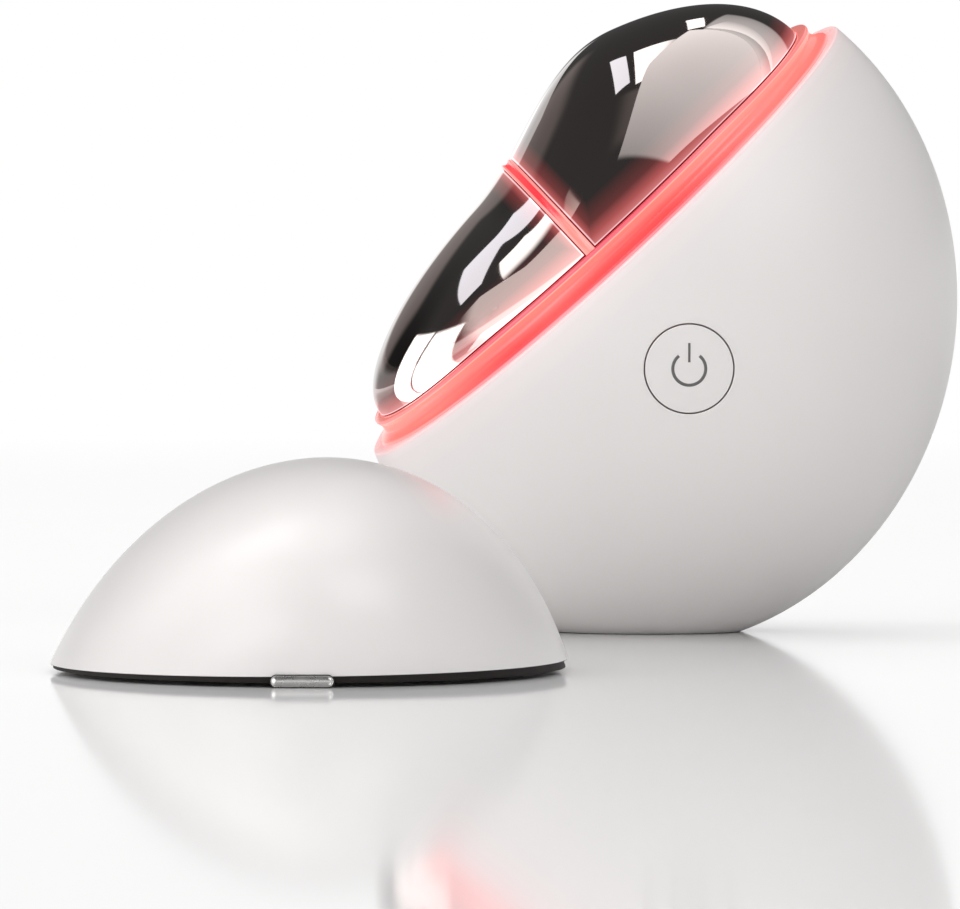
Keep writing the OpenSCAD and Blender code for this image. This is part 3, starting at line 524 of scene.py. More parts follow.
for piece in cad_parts.values():
    wanted = piece.data.materials[0].name.split(".")[0] if piece.data.materials else ""
    if wanted in FINISHES:
        piece.data.materials[0] = FINISHES[wanted]


# Body shells. Rows run from the cut down to the foot, and each row is one half of a section of the egg.
def plane_of(half, normal, point):
    """A plane as the unit ball sees it: its unit normal and its distance."""
    n = half * (EGG_AXES.T @ normal)
    size = np.linalg.norm(n)
    return n / size, normal @ (point - BODY_CENTRE) / size


def half_rows(inset, side, low_z, rows, columns):
    half = BODY_HALF - inset
    top_n, top_d = plane_of(half, OUT, RIM_CENTRE)
    low_n, low_d = plane_of(half, -Z_AXIS, np.array([0, 0, low_z]))

    def section(t):
        n = (1 - t) * top_n - t * low_n
        d = (1 - t) * top_d - t * low_d
        size = np.linalg.norm(n)
        n, d = n / size, d / size
        first = unit(np.cross(n, Y_AXIS))
        second = np.cross(n, first)
        if second[1] * side < 0:
            first, second = -first, -second
        radius = math.sqrt(1 - d * d)
        start = math.asin(-d * n[1] / (radius * second[1]))
        turn = np.linspace(start, math.pi - start, columns + 1)
        ball = d * n + radius * (np.outer(np.cos(turn), first) + np.outer(np.sin(turn), second))
        return BODY_CENTRE + (ball * half) @ EGG_AXES.T

    tries = np.linspace(0, 1, 401)
    middles = np.array([section(t)[columns // 2] for t in tries])
    run = np.concatenate([[0], np.cumsum(np.linalg.norm(np.diff(middles, axis=0), axis=1))])
    return np.array([section(t) for t in np.interp(np.linspace(0, run[-1], rows + 1), run, tries)])


def egg_y(inset, side, x, z):
    """Depth of the egg's surface at a place seen from the front."""
    half = BODY_HALF - inset
    d = xyz(x - BODY_CENTRE[0], 0, z - BODY_CENTRE[2])
    w, h = d @ AXIS_W / half[0], d @ AXIS_H / half[2]
    return side * half[1] * np.sqrt(1 - w ** 2 - h ** 2)


def circle_hole(radius):
    return lambda turn: np.full_like(turn, radius)


def stadium_hole(half_w, half_h):
    """Distance from the centre to the edge of a slot with round ends."""
    def reach(turn):
        c, s = np.abs(np.cos(turn)), np.abs(np.sin(turn))
        flat = half_h / np.maximum(s, 1e-9)
        mid = half_w - half_h
        root = np.sqrt(np.maximum(half_h ** 2 - (mid * s) ** 2, 0))
        return np.where(flat * c <= mid, flat, mid * c + root)
    return reach


def shell(name, side, hole_at, hole, margin, replaced):
    rows, columns, rings, crowd = 150, 150, 10, 1.2
    shape = Shape()
    grids = [half_rows(0, side, 0, rows, columns), half_rows(WALL, side, FLOOR, rows, columns)]
    numbers = [shape.add(g) for g in grids]
    x, z = grids[0][..., 0] - hole_at[0], grids[0][..., 2] - hole_at[1]
    turn = np.arctan2(z, x)
    near = np.hypot(x, z) < hole(turn) + margin
    i0, i1 = np.where(near.any(1))[0][[0, -1]]
    j0, j1 = np.where(near.any(0))[0][[0, -1]]
    loop = ([(i0, j) for j in range(j0, j1)] + [(i, j1) for i in range(i0, i1)]
            + [(i1, j) for j in range(j1, j0, -1)] + [(i, j0) for i in range(i1, i0, -1)])
    li, lj = np.array(loop).T
    edge_turn = turn[li, lj]
    ends = []
    for k, (grid, number) in enumerate(zip(grids, numbers)):
        flip = (k == 1) != (side > 0)
        for i in range(rows):
            for j in range(columns):
                if i0 <= i < i1 and j0 <= j < j1:
                    continue
                face = (number[i, j], number[i, j + 1], number[i + 1, j + 1], number[i + 1, j])
                shape.faces.append(face[::-1] if flip else face)
        edge = grid[li, lj][:, [0, 2]]
        rim = np.array(hole_at) + (hole(edge_turn) * np.array([np.cos(edge_turn), np.sin(edge_turn)])).T
        last = number[li, lj]
        for share in np.linspace(1, 0, rings + 1)[1:]:
            flat = rim + (edge - rim) * share ** crowd
            depth = egg_y(0 if k == 0 else WALL, side, flat[:, 0], flat[:, 1])
            row = shape.add(np.stack([flat[:, 0], depth, flat[:, 1]], -1))
            shape.quads(last, row, closed=True, flip=flip)
            last = row
        ends.append(last)
    shape.quads(ends[0], ends[1], closed=True, flip=side > 0)
    border = [np.concatenate([n[0, :-1], n[:-1, -1], n[-1, :0:-1], n[:0:-1, 0]]) for n in numbers]
    shape.quads(border[0], border[1], closed=True, flip=side < 0)
    shape.weigh(numbers[0][0], 1.0)
    shape.weigh(numbers[0][-1], 1.0)
    shape.weigh(numbers[0][:, 0], 0.4)
    shape.weigh(numbers[0][:, -1], 0.4)
    shape.weigh(ends[0], 0.8, closed=True)
    return shape.make(name, "tool", shell_white, 0.25, 3, [replaced])


shell("body_front", -1, BUTTON_AT, circle_hole(BUTTON_R + BUTTON_GAP), HOLE_MARGIN, "front_shell")
shell("body_back", 1, USB_AT, stadium_hole(*USB_HALF), HOLE_MARGIN, "back_shell")

# Light ring.
TURNS = np.linspace(0, 2 * math.pi, 361)[:-1]
cove_w = LIP_INSET + COVE
skirt = WALL + 0.4
ring_profile = [
    rim_points(skirt, skirt, TURNS, -RING_SKIRT), rim_points(skirt, skirt, TURNS, 0),
    ring_points(SHOULDER, 0, TURNS), ring_points(SHOULDER + 0.05, 0.15, TURNS),
    ring_points(SHOULDER + 0.3, 0.5, TURNS),
    ring_points(SHOULDER + (cove_w - SHOULDER) * 0.38, 0.78, TURNS),
    ring_points(SHOULDER + (cove_w - SHOULDER) * 0.68, 1.15, TURNS),
    ring_points(SHOULDER + (cove_w - SHOULDER) * 0.9, 1.6, TURNS),
    ring_points(cove_w, 2.15, TURNS), ring_points(cove_w - COVE * 0.2, RING_H - 1.1, TURNS),
    ring_points(LIP_INSET + COVE * 0.3, RING_H - 0.75, TURNS), ring_points(LIP_INSET, RING_H - 0.5, TURNS),
    ring_points(LIP_INSET, RING_H - 0.2, TURNS), ring_points(LIP_INSET + 0.12, RING_H, TURNS),
    head_points(GAP, TURNS, lip_height(HEAD_L * np.cos(TURNS))), head_points(GAP, TURNS, HEAD_FOOT),
    head_points(GAP - LEDGE, TURNS, HEAD_FOOT), head_points(GAP - LEDGE, TURNS, -RING_SKIRT)]
ring = Shape()
ring_rows = ring.add(from_cut(np.array(smooth_rows(ring_profile, 2, 13, 3))))
ring.skin(ring_rows, closed=True)
ring.quads(ring_rows[-1], ring_rows[0], closed=True)
for row in (1, 2, -4):
    ring.weigh(ring_rows[row], 0.6, closed=True)
ring.make("glow_ring", "tool", ring_red, 0.12, 2, ["light_ring"])


# Head: two metal lobes over one oval foot.
def rise(u):
    t = np.clip((u - RISE_FROM) / (RISE_TO - RISE_FROM), 0, 1)
    return LOW_LOBE + (HIGH_LOBE - LOW_LOBE) * t * t * (3 - 2 * t)


def head_surface(end, arc, thin):
    r = np.sin(end)
    u = HEAD_SHIFT - (HEAD_L - thin) * np.cos(end)
    h = (rise(u) - thin) * r * np.sin(arc)
    v = (HEAD_W - thin) * r * np.cos(arc) + CAP_LEAN_SIDE / CAP_H * h
    return xyz(u, v, HEAD_FOOT + h)


def head_end(u, thin):
    return math.acos((HEAD_SHIFT - u) / (HEAD_L - thin))


def electrode(name, side, replaced):
    rows, arcs = 110, 120
    shape = Shape()
    cut_u = DIVIDER_AT + side * (DIVIDER_W / 2 + 0.05)
    grids = []
    for thin in (0, METAL):
        tip = 0 if side < 0 else math.pi
        ends = tip + (head_end(cut_u, thin) - tip) * np.linspace(0, 1, rows + 1)[1:]
        arc = np.linspace(0, math.pi, arcs + 1)
        grids.append(head_surface(ends[:, None], arc[None, :], thin))
    outer, inner = [shape.add(from_cut(g)) for g in grids]
    tips = [shape.add(from_cut(np.array([[HEAD_SHIFT + side * (HEAD_L - thin), 0, HEAD_FOOT]])))[0]
            for thin in (0, METAL)]
    flip = side > 0
    shape.skin(outer, flip=not flip)
    shape.skin(inner, flip=flip)
    shape.fan(tips[0], outer[0], closed=False, flip=not flip)
    shape.fan(tips[1], inner[0], closed=False, flip=flip)
    edges = [np.concatenate([[tip], g[:, 0], g[-1, 1:], g[-2::-1, -1]])
             for tip, g in zip(tips, (outer, inner))]
    shape.quads(edges[0], edges[1], closed=True, flip=flip)
    shape.weigh(outer[-1], 1.0)
    shape.weigh(edges[0], 0.6, closed=True)
    return shape.make(name, "tool", dark_chrome, 0.18, 3, [replaced])


lobe_high = electrode("lobe_high", 1, "upper_electrode")
lobe_low = electrode("lobe_low", -1, "lower_electrode")

# Divider: a strip of lit plastic between the lobes, with two raised edges.
divider = Shape()
arc = np.linspace(0, math.pi, 181)
end = head_end(DIVIDER_AT, 0)
arch_w, arch_h = HEAD_W * math.sin(end), float(rise(DIVIDER_AT)) * math.sin(end)
SECTION = [(-0.5, -2.6), (-0.5, 0.02), (-0.46, 0.10), (-0.38, 0.12), (-0.30, 0.10), (-0.20, -0.05),
           (0.0, -0.12), (0.20, -0.05), (0.30, 0.10), (0.38, 0.12), (0.46, 0.10), (0.5, 0.02), (0.5, -2.6)]
strips = []
for across, proud in SECTION:
    h = (arch_h + proud) * np.sin(arc)
    v = (arch_w + min(proud, 0)) * np.cos(arc) + CAP_LEAN_SIDE / CAP_H * h
    strips.append(xyz(DIVIDER_AT + across * DIVIDER_W, v, HEAD_FOOT + h))
strip = divider.add(from_cut(np.array(strips)))
divider.skin(strip)
divider.quads(strip[-1], strip[0])
divider.faces.append(tuple(strip[:, 0]))
divider.faces.append(tuple(strip[::-1, -1]))
divider.make("glow_divider", "tool", divider_red, replaces=["divider_guide"])

# Button: its face follows the egg.
button = Shape()
BUTTON_TURNS = np.linspace(0, 2 * math.pi, 145)[:-1]


def on_face(radius, turn):
    """A point over the button's centre by a radius and a turn, on the egg's front."""
    x, z = BUTTON_AT[0] + radius * np.cos(turn), BUTTON_AT[1] + radius * np.sin(turn)
    return xyz(x, egg_y(0, -1, x, z), z)


centre = button.add(on_face(np.zeros(1), np.zeros(1)))[0]
face_rows = button.add(np.array([on_face(BUTTON_R * r, BUTTON_TURNS) for r in np.linspace(0, 1, 25)[1:]]))
stem = []
for radius, depth in BUTTON_BEHIND:
    x, z = BUTTON_AT[0] + radius * np.cos(BUTTON_TURNS), BUTTON_AT[1] + radius * np.sin(BUTTON_TURNS)
    stem.append(xyz(x, depth, z))
stem_rows = button.add(np.array(stem))
button.fan(centre, face_rows[0])
button.skin(face_rows, closed=True, flip=True)
button.quads(face_rows[-1], stem_rows[0], closed=True, flip=True)
button.skin(stem_rows, closed=True, flip=True)
button.faces.append(tuple(stem_rows[-1][::-1]))
button.weigh(face_rows[-1], 1.0, closed=True)
button.make("button_face", "button", button_white, 0.1, 3, ["power_button"])

# Power symbol, printed a hair over the button's face.
icon = Shape()
PRINT = 0.012
PRINT_SUNK = 0.05


def stroke(middle, half_line):
    """A printed line round a middle line given as x and z offsets from the button's centre."""
    steps = np.gradient(middle, axis=0)
    sides = np.stack([-steps[:, 1], steps[:, 0]], -1) / np.linalg.norm(steps, axis=1, keepdims=True)
    rows = []
    for share in (-1, -1, 0, 1, 1):
        flat = middle + sides * share * half_line
        x, z = BUTTON_AT[0] + flat[:, 0], BUTTON_AT[1] + flat[:, 1]
        sunk = PRINT_SUNK if len(rows) in (0, 4) else -PRINT
        rows.append(np.stack([x, egg_y(0, -1, x, z) + sunk, z], -1))
    grid = icon.add(np.array(rows))
    icon.skin(grid)
    icon.quads(grid[-1], grid[0])
    icon.faces.append(tuple(grid[:, 0]))
    icon.faces.append(tuple(grid[::-1, -1]))


turn = np.linspace(math.pi / 2 + ICON_OPEN, math.pi * 2.5 - ICON_OPEN, 97)
arc_r = ICON_R - ICON_LINE / 2
stroke(arc_r * np.stack([np.cos(turn), np.sin(turn)], -1), ICON_LINE / 2)
bar = np.linspace(ICON_BAR_FROM, ICON_BAR_TO, 13)
stroke(np.stack([np.zeros_like(bar), bar], -1), ICON_BAR / 2)
icon.make("power_symbol", "button", icon_grey, replaces=["button_icon"])


def paint_shade_on_first(piece, count):
    """Gives a piece's first faces the dark rubber finish, as painted shade."""
    piece.data.materials.append(FINISHES["dark_rubber"])
    for face in piece.data.polygons[:count]:
        face.material_index = 1


# Cap: a dome with an outer and an inner skin.
def cap_surface(thin_l, thin_w, thin_h, s, turn):
    side = np.sqrt((1 - (CAP_CUT + (1 - CAP_CUT) * s) ** 2) / (1 - CAP_CUT ** 2))
    end = (1 - s ** CAP_FULL) ** (1 / CAP_FULL)
    x = (RIM_L - thin_l) * end * np.cos(turn) + RIM_K * side * np.sin(turn) + CAP_LEAN_END * s
    y = (RIM_W - thin_w) * side * np.sin(turn) + CAP_LEAN_SIDE * s
    return xyz(x, y, (CAP_H - thin_h) * s)


cap = Shape()
levels = np.sin(np.linspace(0, math.pi / 2, CAP_LEVELS + 1)[:-1])
step = (CAP_STEP + CAP_STEP_LEAN * np.sin(TURNS)) / CAP_H
outer_levels = np.sin(np.linspace(np.arcsin(step), math.pi / 2, CAP_LEVELS + 1)[:-1])
foot_levels = np.stack([0 * step, step])
skins = [np.concatenate([cap_surface(CAP_STEP_IN, CAP_STEP_IN, 0, foot_levels, TURNS[None, :]),
                         cap_surface(0, 0, 0, outer_levels, TURNS[None, :])]),
         cap_surface(CAP_WALL_END, CAP_WALL, CAP_TOP, levels[:, None], TURNS[None, :])]
cap_outer, cap_inner = [cap.add(from_cap(s)) for s in skins]
tops = [cap.add(from_cap(np.array([[CAP_LEAN_END, CAP_LEAN_SIDE, CAP_H - t]])))[0] for t in (0, CAP_TOP)]
cap.skin(cap_outer, closed=True)
cap.skin(cap_inner, closed=True, flip=True)
cap.fan(tops[0], cap_outer[-1])
cap.fan(tops[1], cap_inner[-1], flip=True)
cap.quads(cap_outer[0], cap_inner[0], closed=True, flip=True)
cap.weigh(cap_outer[2], 1.0, closed=True)
dome = cap.make("cap_dome", "cap", cap_white, 0.2, 3, ["cap_shell"])
# Painted shadow: the foot's first bands under the wall take the dark rubber finish.
paint_shade_on_first(dome, CAP_SHADE_BANDS * len(TURNS))


def tab_loop(inset, depth):
    """A loop with round ends, at a depth in front of the rim's end."""
    r = TAB_HALF[1] - inset
    turn = np.linspace(0, 2 * math.pi, TAB_TURNS + 1)[:-1]
    middle = np.sign(np.cos(turn)) * (TAB_HALF[0] - TAB_HALF[1])
    front = CAP_AT[1] - RIM_L - depth
    return xyz(CAP_AT[0] + middle + r * np.cos(turn), front, TAB_Z + r * np.sin(turn))


# The tab is a bar with a rounded face, in a slot of the rim whose edge is painted dark as shade.
tab = Shape()
tab_rows = tab.add(np.array([tab_loop(*loop) for loop in TAB_LOOPS]))
tab.skin(tab_rows, closed=True)
tab.faces.append(tuple(tab_rows[0]))
tab.faces.append(tuple(tab_rows[-1][::-1]))
brushed_metal = material("brushed_metal", (0.70, 0.69, 0.68), 0.28, metallic=1.0, shade=0.03,
                         shade_scale=300, wear=0.1)
tab_bar = tab.make("tab_bar", "cap", brushed_metal, replaces=["cap_tab"])
# The slot's faces round the tab are painted dark as shade.
paint_shade_on_first(tab_bar, TAB_SHADE_BANDS * TAB_TURNS)


# Floor and backdrop. Near the object the floor is lit and glossy. Far off it turns into the white backdrop.
def stage_floor():
    reach = 6.0
    mesh = bpy.data.meshes.new("floor")
    corners = [(-reach, -reach, 0), (reach, -reach, 0), (reach, reach, 0), (-reach, reach, 0)]
    mesh.from_pydata(corners, [], [(0, 1, 2, 3)])
    floor = bpy.data.objects.new("floor", mesh)
    bpy.context.scene.collection.objects.link(floor)
    made = bpy.data.materials.new("floor_gloss")
    made.use_nodes = True
    nodes, links = made.node_tree.nodes, made.node_tree.links
    nodes.remove(nodes["Principled BSDF"])
    matte = nodes.new("ShaderNodeBsdfDiffuse")
    matte.inputs["Color"].default_value = (*FLOOR_COLOUR, 1)
    gloss = nodes.new("ShaderNodeBsdfGlossy")
    gloss.inputs["Color"].default_value = (1, 1, 1, 1)
    gloss.inputs["Roughness"].default_value = FLOOR_ROUGHNESS
    both = nodes.new("ShaderNodeMixShader")
    both.inputs["Fac"].default_value = FLOOR_GLOSS
    links.new(matte.outputs["BSDF"], both.inputs[1])
    links.new(gloss.outputs["BSDF"], both.inputs[2])
    white = nodes.new("ShaderNodeEmission")
    place = nodes.new("ShaderNodeTexCoord")
    far = nodes.new("ShaderNodeVectorMath")
    far.operation = "LENGTH"
    fade = nodes.new("ShaderNodeMapRange")
    fade.interpolation_type = "SMOOTHSTEP"
    fade.inputs["From Min"].default_value = FADE_FROM
    fade.inputs["From Max"].default_value = FADE_TO
    seen = background_rays(nodes, links)
    amount = nodes.new("ShaderNodeMath")
    amount.operation = "MULTIPLY"
    faded = nodes.new("ShaderNodeMixShader")
    links.new(place.outputs["Object"], far.inputs[0])
    links.new(far.outputs["Value"], fade.inputs["Value"])
    links.new(fade.outputs["Result"], amount.inputs[0])
    links.new(seen, amount.inputs[1])
    links.new(amount.outputs["Value"], faded.inputs["Fac"])
    links.new(both.outputs["Shader"], faded.inputs[1])
    links.new(white.outputs["Emission"], faded.inputs[2])
    links.new(faded.outputs["Shader"], nodes["Material Output"].inputs["Surface"])
    mesh.materials.append(made)


def background_rays(nodes, links):
    """One for the rays that show the background: camera, mirror and see-through rays."""
    rays = nodes.new("ShaderNodeLightPath")
    first = nodes.new("ShaderNodeMath")
    second = nodes.new("ShaderNodeMath")
    second.use_clamp = True
    links.new(rays.outputs["Is Camera Ray"], first.inputs[0])
    links.new(rays.outputs["Is Glossy Ray"], first.inputs[1])
    links.new(first.outputs["Value"], second.inputs[0])
    links.new(rays.outputs["Is Transmission Ray"], second.inputs[1])
    return second.outputs["Value"]


def stage_world():
    """A white backdrop at eye height that turns grey overhead, and plain soft light from everywhere."""
    world = bpy.data.worlds.new("studio")
    world.use_nodes = True
    bpy.context.scene.world = world
    nodes, links = world.node_tree.nodes, world.node_tree.links
    backdrop = nodes["Background"]
    place = nodes.new("ShaderNodeTexCoord")
    split = nodes.new("ShaderNodeSeparateXYZ")
    ramp = nodes.new("ShaderNodeValToRGB")
    ramp.color_ramp.interpolation = "EASE"
    ramp.color_ramp.elements[0].position = BACKDROP_TOP
    ramp.color_ramp.elements[0].color = (1, 1, 1, 1)
    ramp.color_ramp.elements[1].position = CEILING_FROM
    ramp.color_ramp.elements[1].color = (CEILING, CEILING, CEILING, 1)
    mix = nodes.new("ShaderNodeMix")
    mix.data_type = "RGBA"
    mix.inputs["A"].default_value = (*AMBIENT, 1)
    corner = nodes.new("ShaderNodeVectorMath")
    corner.operation = "DOT_PRODUCT"
    corner.inputs[1].default_value = DARK_CORNER
    rays = nodes.new("ShaderNodeLightPath")
    notch = ease(world.node_tree, corner.outputs["Value"], *CORNER_EDGE, 1.0, CORNER_SHADE)
    notch = calc(world.node_tree, "MAXIMUM", notch, rays.outputs["Is Camera Ray"])
    links.new(notch, backdrop.inputs["Strength"])
    links.new(place.outputs["Generated"], corner.inputs[0])
    links.new(place.outputs["Generated"], split.inputs["Vector"])
    links.new(split.outputs["Z"], ramp.inputs["Fac"])
    links.new(background_rays(nodes, links), mix.inputs["Factor"])
    links.new(ramp.outputs["Color"], mix.inputs["B"])
    links.new(mix.outputs["Result"], backdrop.inputs["Color"])


def lamp_group(name, members, state):
    """A named list of pieces that some lamps light alone, or leave out."""
    group = bpy.data.collections.new(name)
    for member in members:
        group.objects.link(member)
    for entry in group.collection_objects:
        entry.light_linking.link_state = state
    return group


def soft_quad(data, corners, near, far, soft, flipped):
    """Makes a lamp uneven: a brightness for each corner, slanting near and far edges, and edges that fade."""
    data.use_nodes = True
    tree = data.node_tree
    place = tree.nodes.new("ShaderNodeNewGeometry")
    split = tree.nodes.new("ShaderNodeSeparateXYZ")
    tree.links.new(place.outputs["Parametric"], split.inputs["Vector"])
    u, v = split.outputs["X"], split.outputs["Y"]
    if flipped:
        u, v = calc(tree, "SUBTRACT", 1, u), calc(tree, "SUBTRACT", 1, v)
    low = calc(tree, "MULTIPLY_ADD", u, corners[1] - corners[0], corners[0])
    high = calc(tree, "MULTIPLY_ADD", u, corners[3] - corners[2], corners[2])
    light = calc(tree, "MULTIPLY_ADD", calc(tree, "SUBTRACT", high, low), v, low)
    start = calc(tree, "MULTIPLY_ADD", u, near[1] - near[0], near[0])
    end = calc(tree, "MULTIPLY_ADD", u, far[1] - far[0], far[0])
    left, right, front, back = [max(share, 0.001) for share in soft]
    for value, width in ((u, left), (calc(tree, "SUBTRACT", 1, u), right),
                         (calc(tree, "SUBTRACT", v, start), front), (calc(tree, "SUBTRACT", end, v), back)):
        light = calc(tree, "MULTIPLY", light, ease(tree, value, 0, width))
    tree.links.new(light, tree.nodes["Emission"].inputs["Strength"])


def lamp(group, name, place, facing, size, brightness, colour, turn=0.0, near=(0, 0), far=(1, 1),
         soft=(0, 0, 0, 0), flipped=False):
    """A flat lamp of a size, in metres, for one group of pieces. A brightness of 1 is white.

    The brightness is one number, or four for the near left, near right, far left and far right corners."""
    data = bpy.data.lights.new(name, "AREA")
    data.shape = "RECTANGLE"
    data.size, data.size_y = size
    data.color = colour
    data.energy = math.pi * size[0] * size[1]
    if isinstance(brightness, tuple):
        soft_quad(data, brightness, near, far, soft, flipped)
    else:
        data.energy *= brightness
    box = bpy.data.objects.new(name, data)
    box.location = place
    away = Vector(place) - Vector(facing)
    box.rotation_euler = (away.to_track_quat("Z", "Y") @ Quaternion((0, 0, 1), math.radians(turn))).to_euler()
    bpy.context.scene.collection.objects.link(box)
    box.light_linking.receiver_collection = group
    if group.name in CLEAR_FLOOR:
        box.light_linking.blocker_collection = not_floor


def side_lamp(group, name, azimuths, elevations, brightness, colour=(1, 1, 1), distance=1.3, **shape):
    """A lamp that fills a window of directions seen from the object.

    Azimuth 0 is behind the camera, 90 is right, 180 is behind the object and 270 is left, in degrees."""
    a = math.radians(sum(azimuths) / 2)
    e = math.radians(sum(elevations) / 2)
    away = Vector((math.sin(a) * math.cos(e), -math.cos(a) * math.cos(e), math.sin(e)))
    size = (2 * distance * math.tan(math.radians(azimuths[1] - azimuths[0]) / 2 * math.cos(e)),
            2 * distance * math.tan(math.radians(elevations[1] - elevations[0]) / 2))
    size = size[::-1] if shape.get("turn") == 90 else size
    lamp(group, name, LAMPS_ROUND + away * distance, LAMPS_ROUND, size, brightness, colour, **shape)


def ceiling_lamp(group, name, start, size, turn, brightness, colour=(1, 1, 1), height=1.2, **shape):
    """A level lamp overhead: its near left corner, its width and length, and its turn in degrees.

    The corner and size are given for a ceiling one metre over the object."""
    c, s = math.cos(math.radians(turn)), math.sin(math.radians(turn))
    x, y = start[0] + (size[0] * c - size[1] * s) / 2, start[1] + (size[0] * s + size[1] * c) / 2
    place = LAMPS_ROUND + Vector((x, y, 1)) * height
    size = (size[0] * height, size[1] * height)
    lamp(group, name, place, place - Z_VECTOR, size, brightness, colour, turn, flipped=True, **shape)


FLOOR_COLOUR = (0.76, 0.755, 0.755)
FLOOR_ROUGHNESS = 0.07
FLOOR_GLOSS = 0.6
FADE_FROM, FADE_TO = 0.3, 1.2
BACKDROP_TOP, CEILING_FROM, CEILING = 0.085, 0.14, 0.075
DARK_CORNER = (math.sin(math.radians(222)), -math.cos(math.radians(222)), 0)
CORNER_EDGE, CORNER_SHADE = (0.89, 0.975), 0.3
AMBIENT = (0.46, 0.46, 0.46)
LAMPS_ROUND = Vector((-0.01, 0, 0.05))
Z_VECTOR = Vector((0, 0, 1))
stage_floor()
stage_world()
floor = bpy.data.objects["floor"]
ON_HIGH = lamp_group("on_high_lobe", [lobe_high], "INCLUDE")
ON_LOW = lamp_group("on_low_lobe", [lobe_low], "INCLUDE")
not_floor = lamp_group("not_floor", [floor], "EXCLUDE")
CLEAR_FLOOR = ("on_low_lobe",)
ON_FLOOR = lamp_group("on_floor", [floor], "INCLUDE")
NOT_HEAD = lamp_group("not_on_head", [lobe_high, lobe_low], "EXCLUDE")
side_lamp(NOT_HEAD, "key_low", (300, 345), (-2, 15), 2.75)
side_lamp(NOT_HEAD, "key_left", (285, 330), (15, 45), 1.25)
side_lamp(NOT_HEAD, "fill_right", (15, 60), (15, 45), 2.15)
side_lamp(NOT_HEAD, "side_left", (240, 285), (15, 45), 0.9)
side_lamp(NOT_HEAD, "high_left", (240, 285), (45, 75), 2.7)
side_lamp(NOT_HEAD, "back_right", (140, 180), (20, 60), 0.35)
ceiling_lamp(NOT_HEAD, "overhead", (-0.4, -0.4), (0.8, 0.8), 0, 0.9)
side_lamp(ON_FLOOR, "floor_light", (150, 210), (35, 65), 2.6)

# Cards that only the mirror metal shows.
PALE_BLUE = (0.86, 0.91, 1.0)
BROWN = (1, 0.86, 0.81)
ceiling_lamp(ON_HIGH, "card_ceiling", (-0.95, -1.235), (1.45, 2.06), -24.6, (0.0, 1.0, 2.1, 1.45),
             near=(0.29, 0.05), far=(1, 0.868), soft=(0, 0, 0.04, 0))
ceiling_lamp(ON_HIGH, "card_back", (-0.18, -0.06), (1.25, 1.31), -13, (1.9, 1.7, 0.35, 0.9),
             near=(0.545, 0), soft=(0.02, 0, 0, 0.1))
ceiling_lamp(ON_HIGH, "card_back_edge", (-0.02, 0.587), (1.387, 0.267), -35.2, (1.3, 1.7, 0.0, 0.7),
             height=1.17)
ceiling_lamp(ON_HIGH, "card_window_white", (-0.425, 0.06), (0.26, 0.56), -7.5, (3.1, 3.1, 3.1, 3.1),
             near=(0, -0.1), far=(1.03, 0.85), soft=(0, 0.45, 0, 0.02))
ceiling_lamp(ON_HIGH, "card_window_blue", (-0.665, 0.16), (0.19, 0.62), -6, (2.5, 2.4, 2.5, 2.5), PALE_BLUE,
             near=(0, -0.22), far=(1, 0.80), soft=(0.03, 0.02, 0.02, 0.02))
ceiling_lamp(ON_HIGH, "card_window_small", (-0.10, 0.66), (0.09, 0.36), 2, 3.0)
side_lamp(ON_HIGH, "card_rim", (186, 205), (3, 15), (1.2, 0.5, 1.2, 0.5), soft=(0.2, 0.05, 0.2, 0.05))
side_lamp(ON_HIGH, "card_brown", (198, 228), (8, 30), (0.24, 0.14, 0.24, 0.14), BROWN,
          soft=(0.2, 0.3, 0.1, 0.4))
ceiling_lamp(ON_HIGH, "card_dim", (-0.95, -0.45), (0.45, 0.65), -24.6, (0.05, 0.12, 0.05, 0.2), BROWN,
             soft=(0.6, 0, 0.3, 0.1))
side_lamp(ON_HIGH, "card_wedge", (266, 293), (35.6, 38.6), (0.35, 0.9, 0.35, 0.9), BROWN,
          near=(0.5, 0), far=(0.7, 1), soft=(0.1, 0.05, 0.1, 0.1))
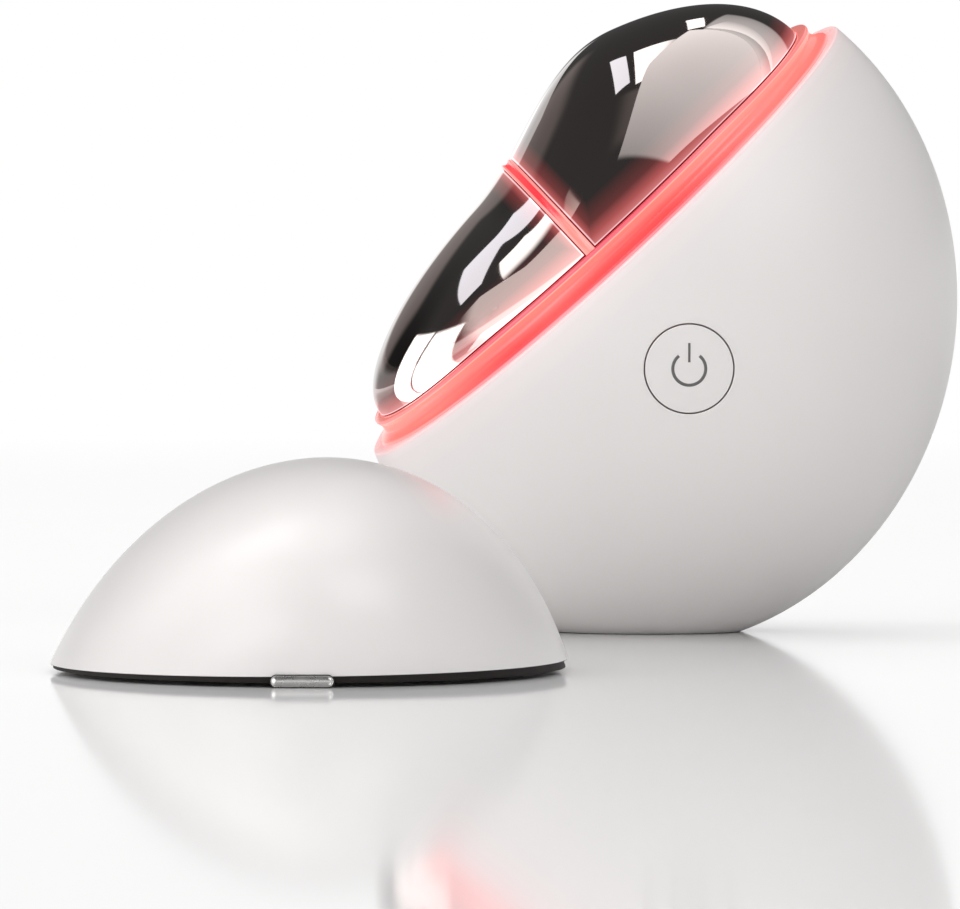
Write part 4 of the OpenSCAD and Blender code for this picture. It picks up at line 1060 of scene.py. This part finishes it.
side_lamp(ON_LOW, "card_low_blue", (222, 250), (26.5, 35), (2.2, 2.2, 2.2, 2.2), PALE_BLUE,
          far=(1, 0.6), soft=(0.02, 0.02, 0.03, 0.03))
side_lamp(ON_LOW, "card_low_white", (247, 274), (31.5, 37.5), (3.0, 2.8, 3.0, 2.8),
          near=(0.6, 0), far=(1, 0.9), soft=(0.02, 0.4, 0.02, 0.05))
side_lamp(ON_LOW, "card_low_pale", (262, 345), (-30, 36), (1.0, 1.6, 1.2, 1.3), (1, 0.94, 0.92),
          near=(0.85, -0.31), soft=(0, 0, 0.15, 0))
side_lamp(ON_LOW, "card_low_left_pane", (219, 298), (-38, 20), (3.6, 3.6, 3.6, 3.6), turn=90,
          near=(0.44, 0.64), far=(0.60, 0.88), soft=(0, 0.02, 0.004, 0.01))
side_lamp(ON_LOW, "card_low_right_pane", (219, 298), (-38, 20), (3.6, 3.6, 3.6, 3.6), turn=90,
          near=(0, 0.35), far=(0.425, 0.625), soft=(0, 0.04, 0.03, 0.004))
lamp(ON_LOW, "card_low_dark", Vector((-0.075, 0.054, 0.023)), Vector((-0.03, 0, 0.028)), (0.046, 0.042),
     0.06, BROWN)
side_lamp(ON_LOW, "card_low_brown", (183, 216), (3, 19), (0.26, 0.2, 0.26, 0.2), BROWN,
          soft=(0.1, 0.25, 0.2, 0.2))

# Camera: level with the middle of the tool, a metre away, looking a little down.
CAMERA_AT = (-0.01996, -1.0, 0.04339)
CAMERA_DOWN = math.radians(1.272)
CAMERA_RANGE = 1000
MM_PER_PIXEL = 0.12
LENS_TRIM = 1.0016
PHOTO_W = 960
SENSOR = 36.0
camera_data = bpy.data.cameras.new("camera")
camera_data.sensor_width = SENSOR
camera_data.lens = CAMERA_RANGE / MM_PER_PIXEL * LENS_TRIM / PHOTO_W * SENSOR
camera = bpy.data.objects.new("camera", camera_data)
camera.location = CAMERA_AT
camera.rotation_euler = (math.pi / 2 - CAMERA_DOWN, 0, 0)
bpy.context.scene.collection.objects.link(camera)
bpy.context.scene.camera = camera
bpy.context.scene.view_settings.view_transform = "Standard"
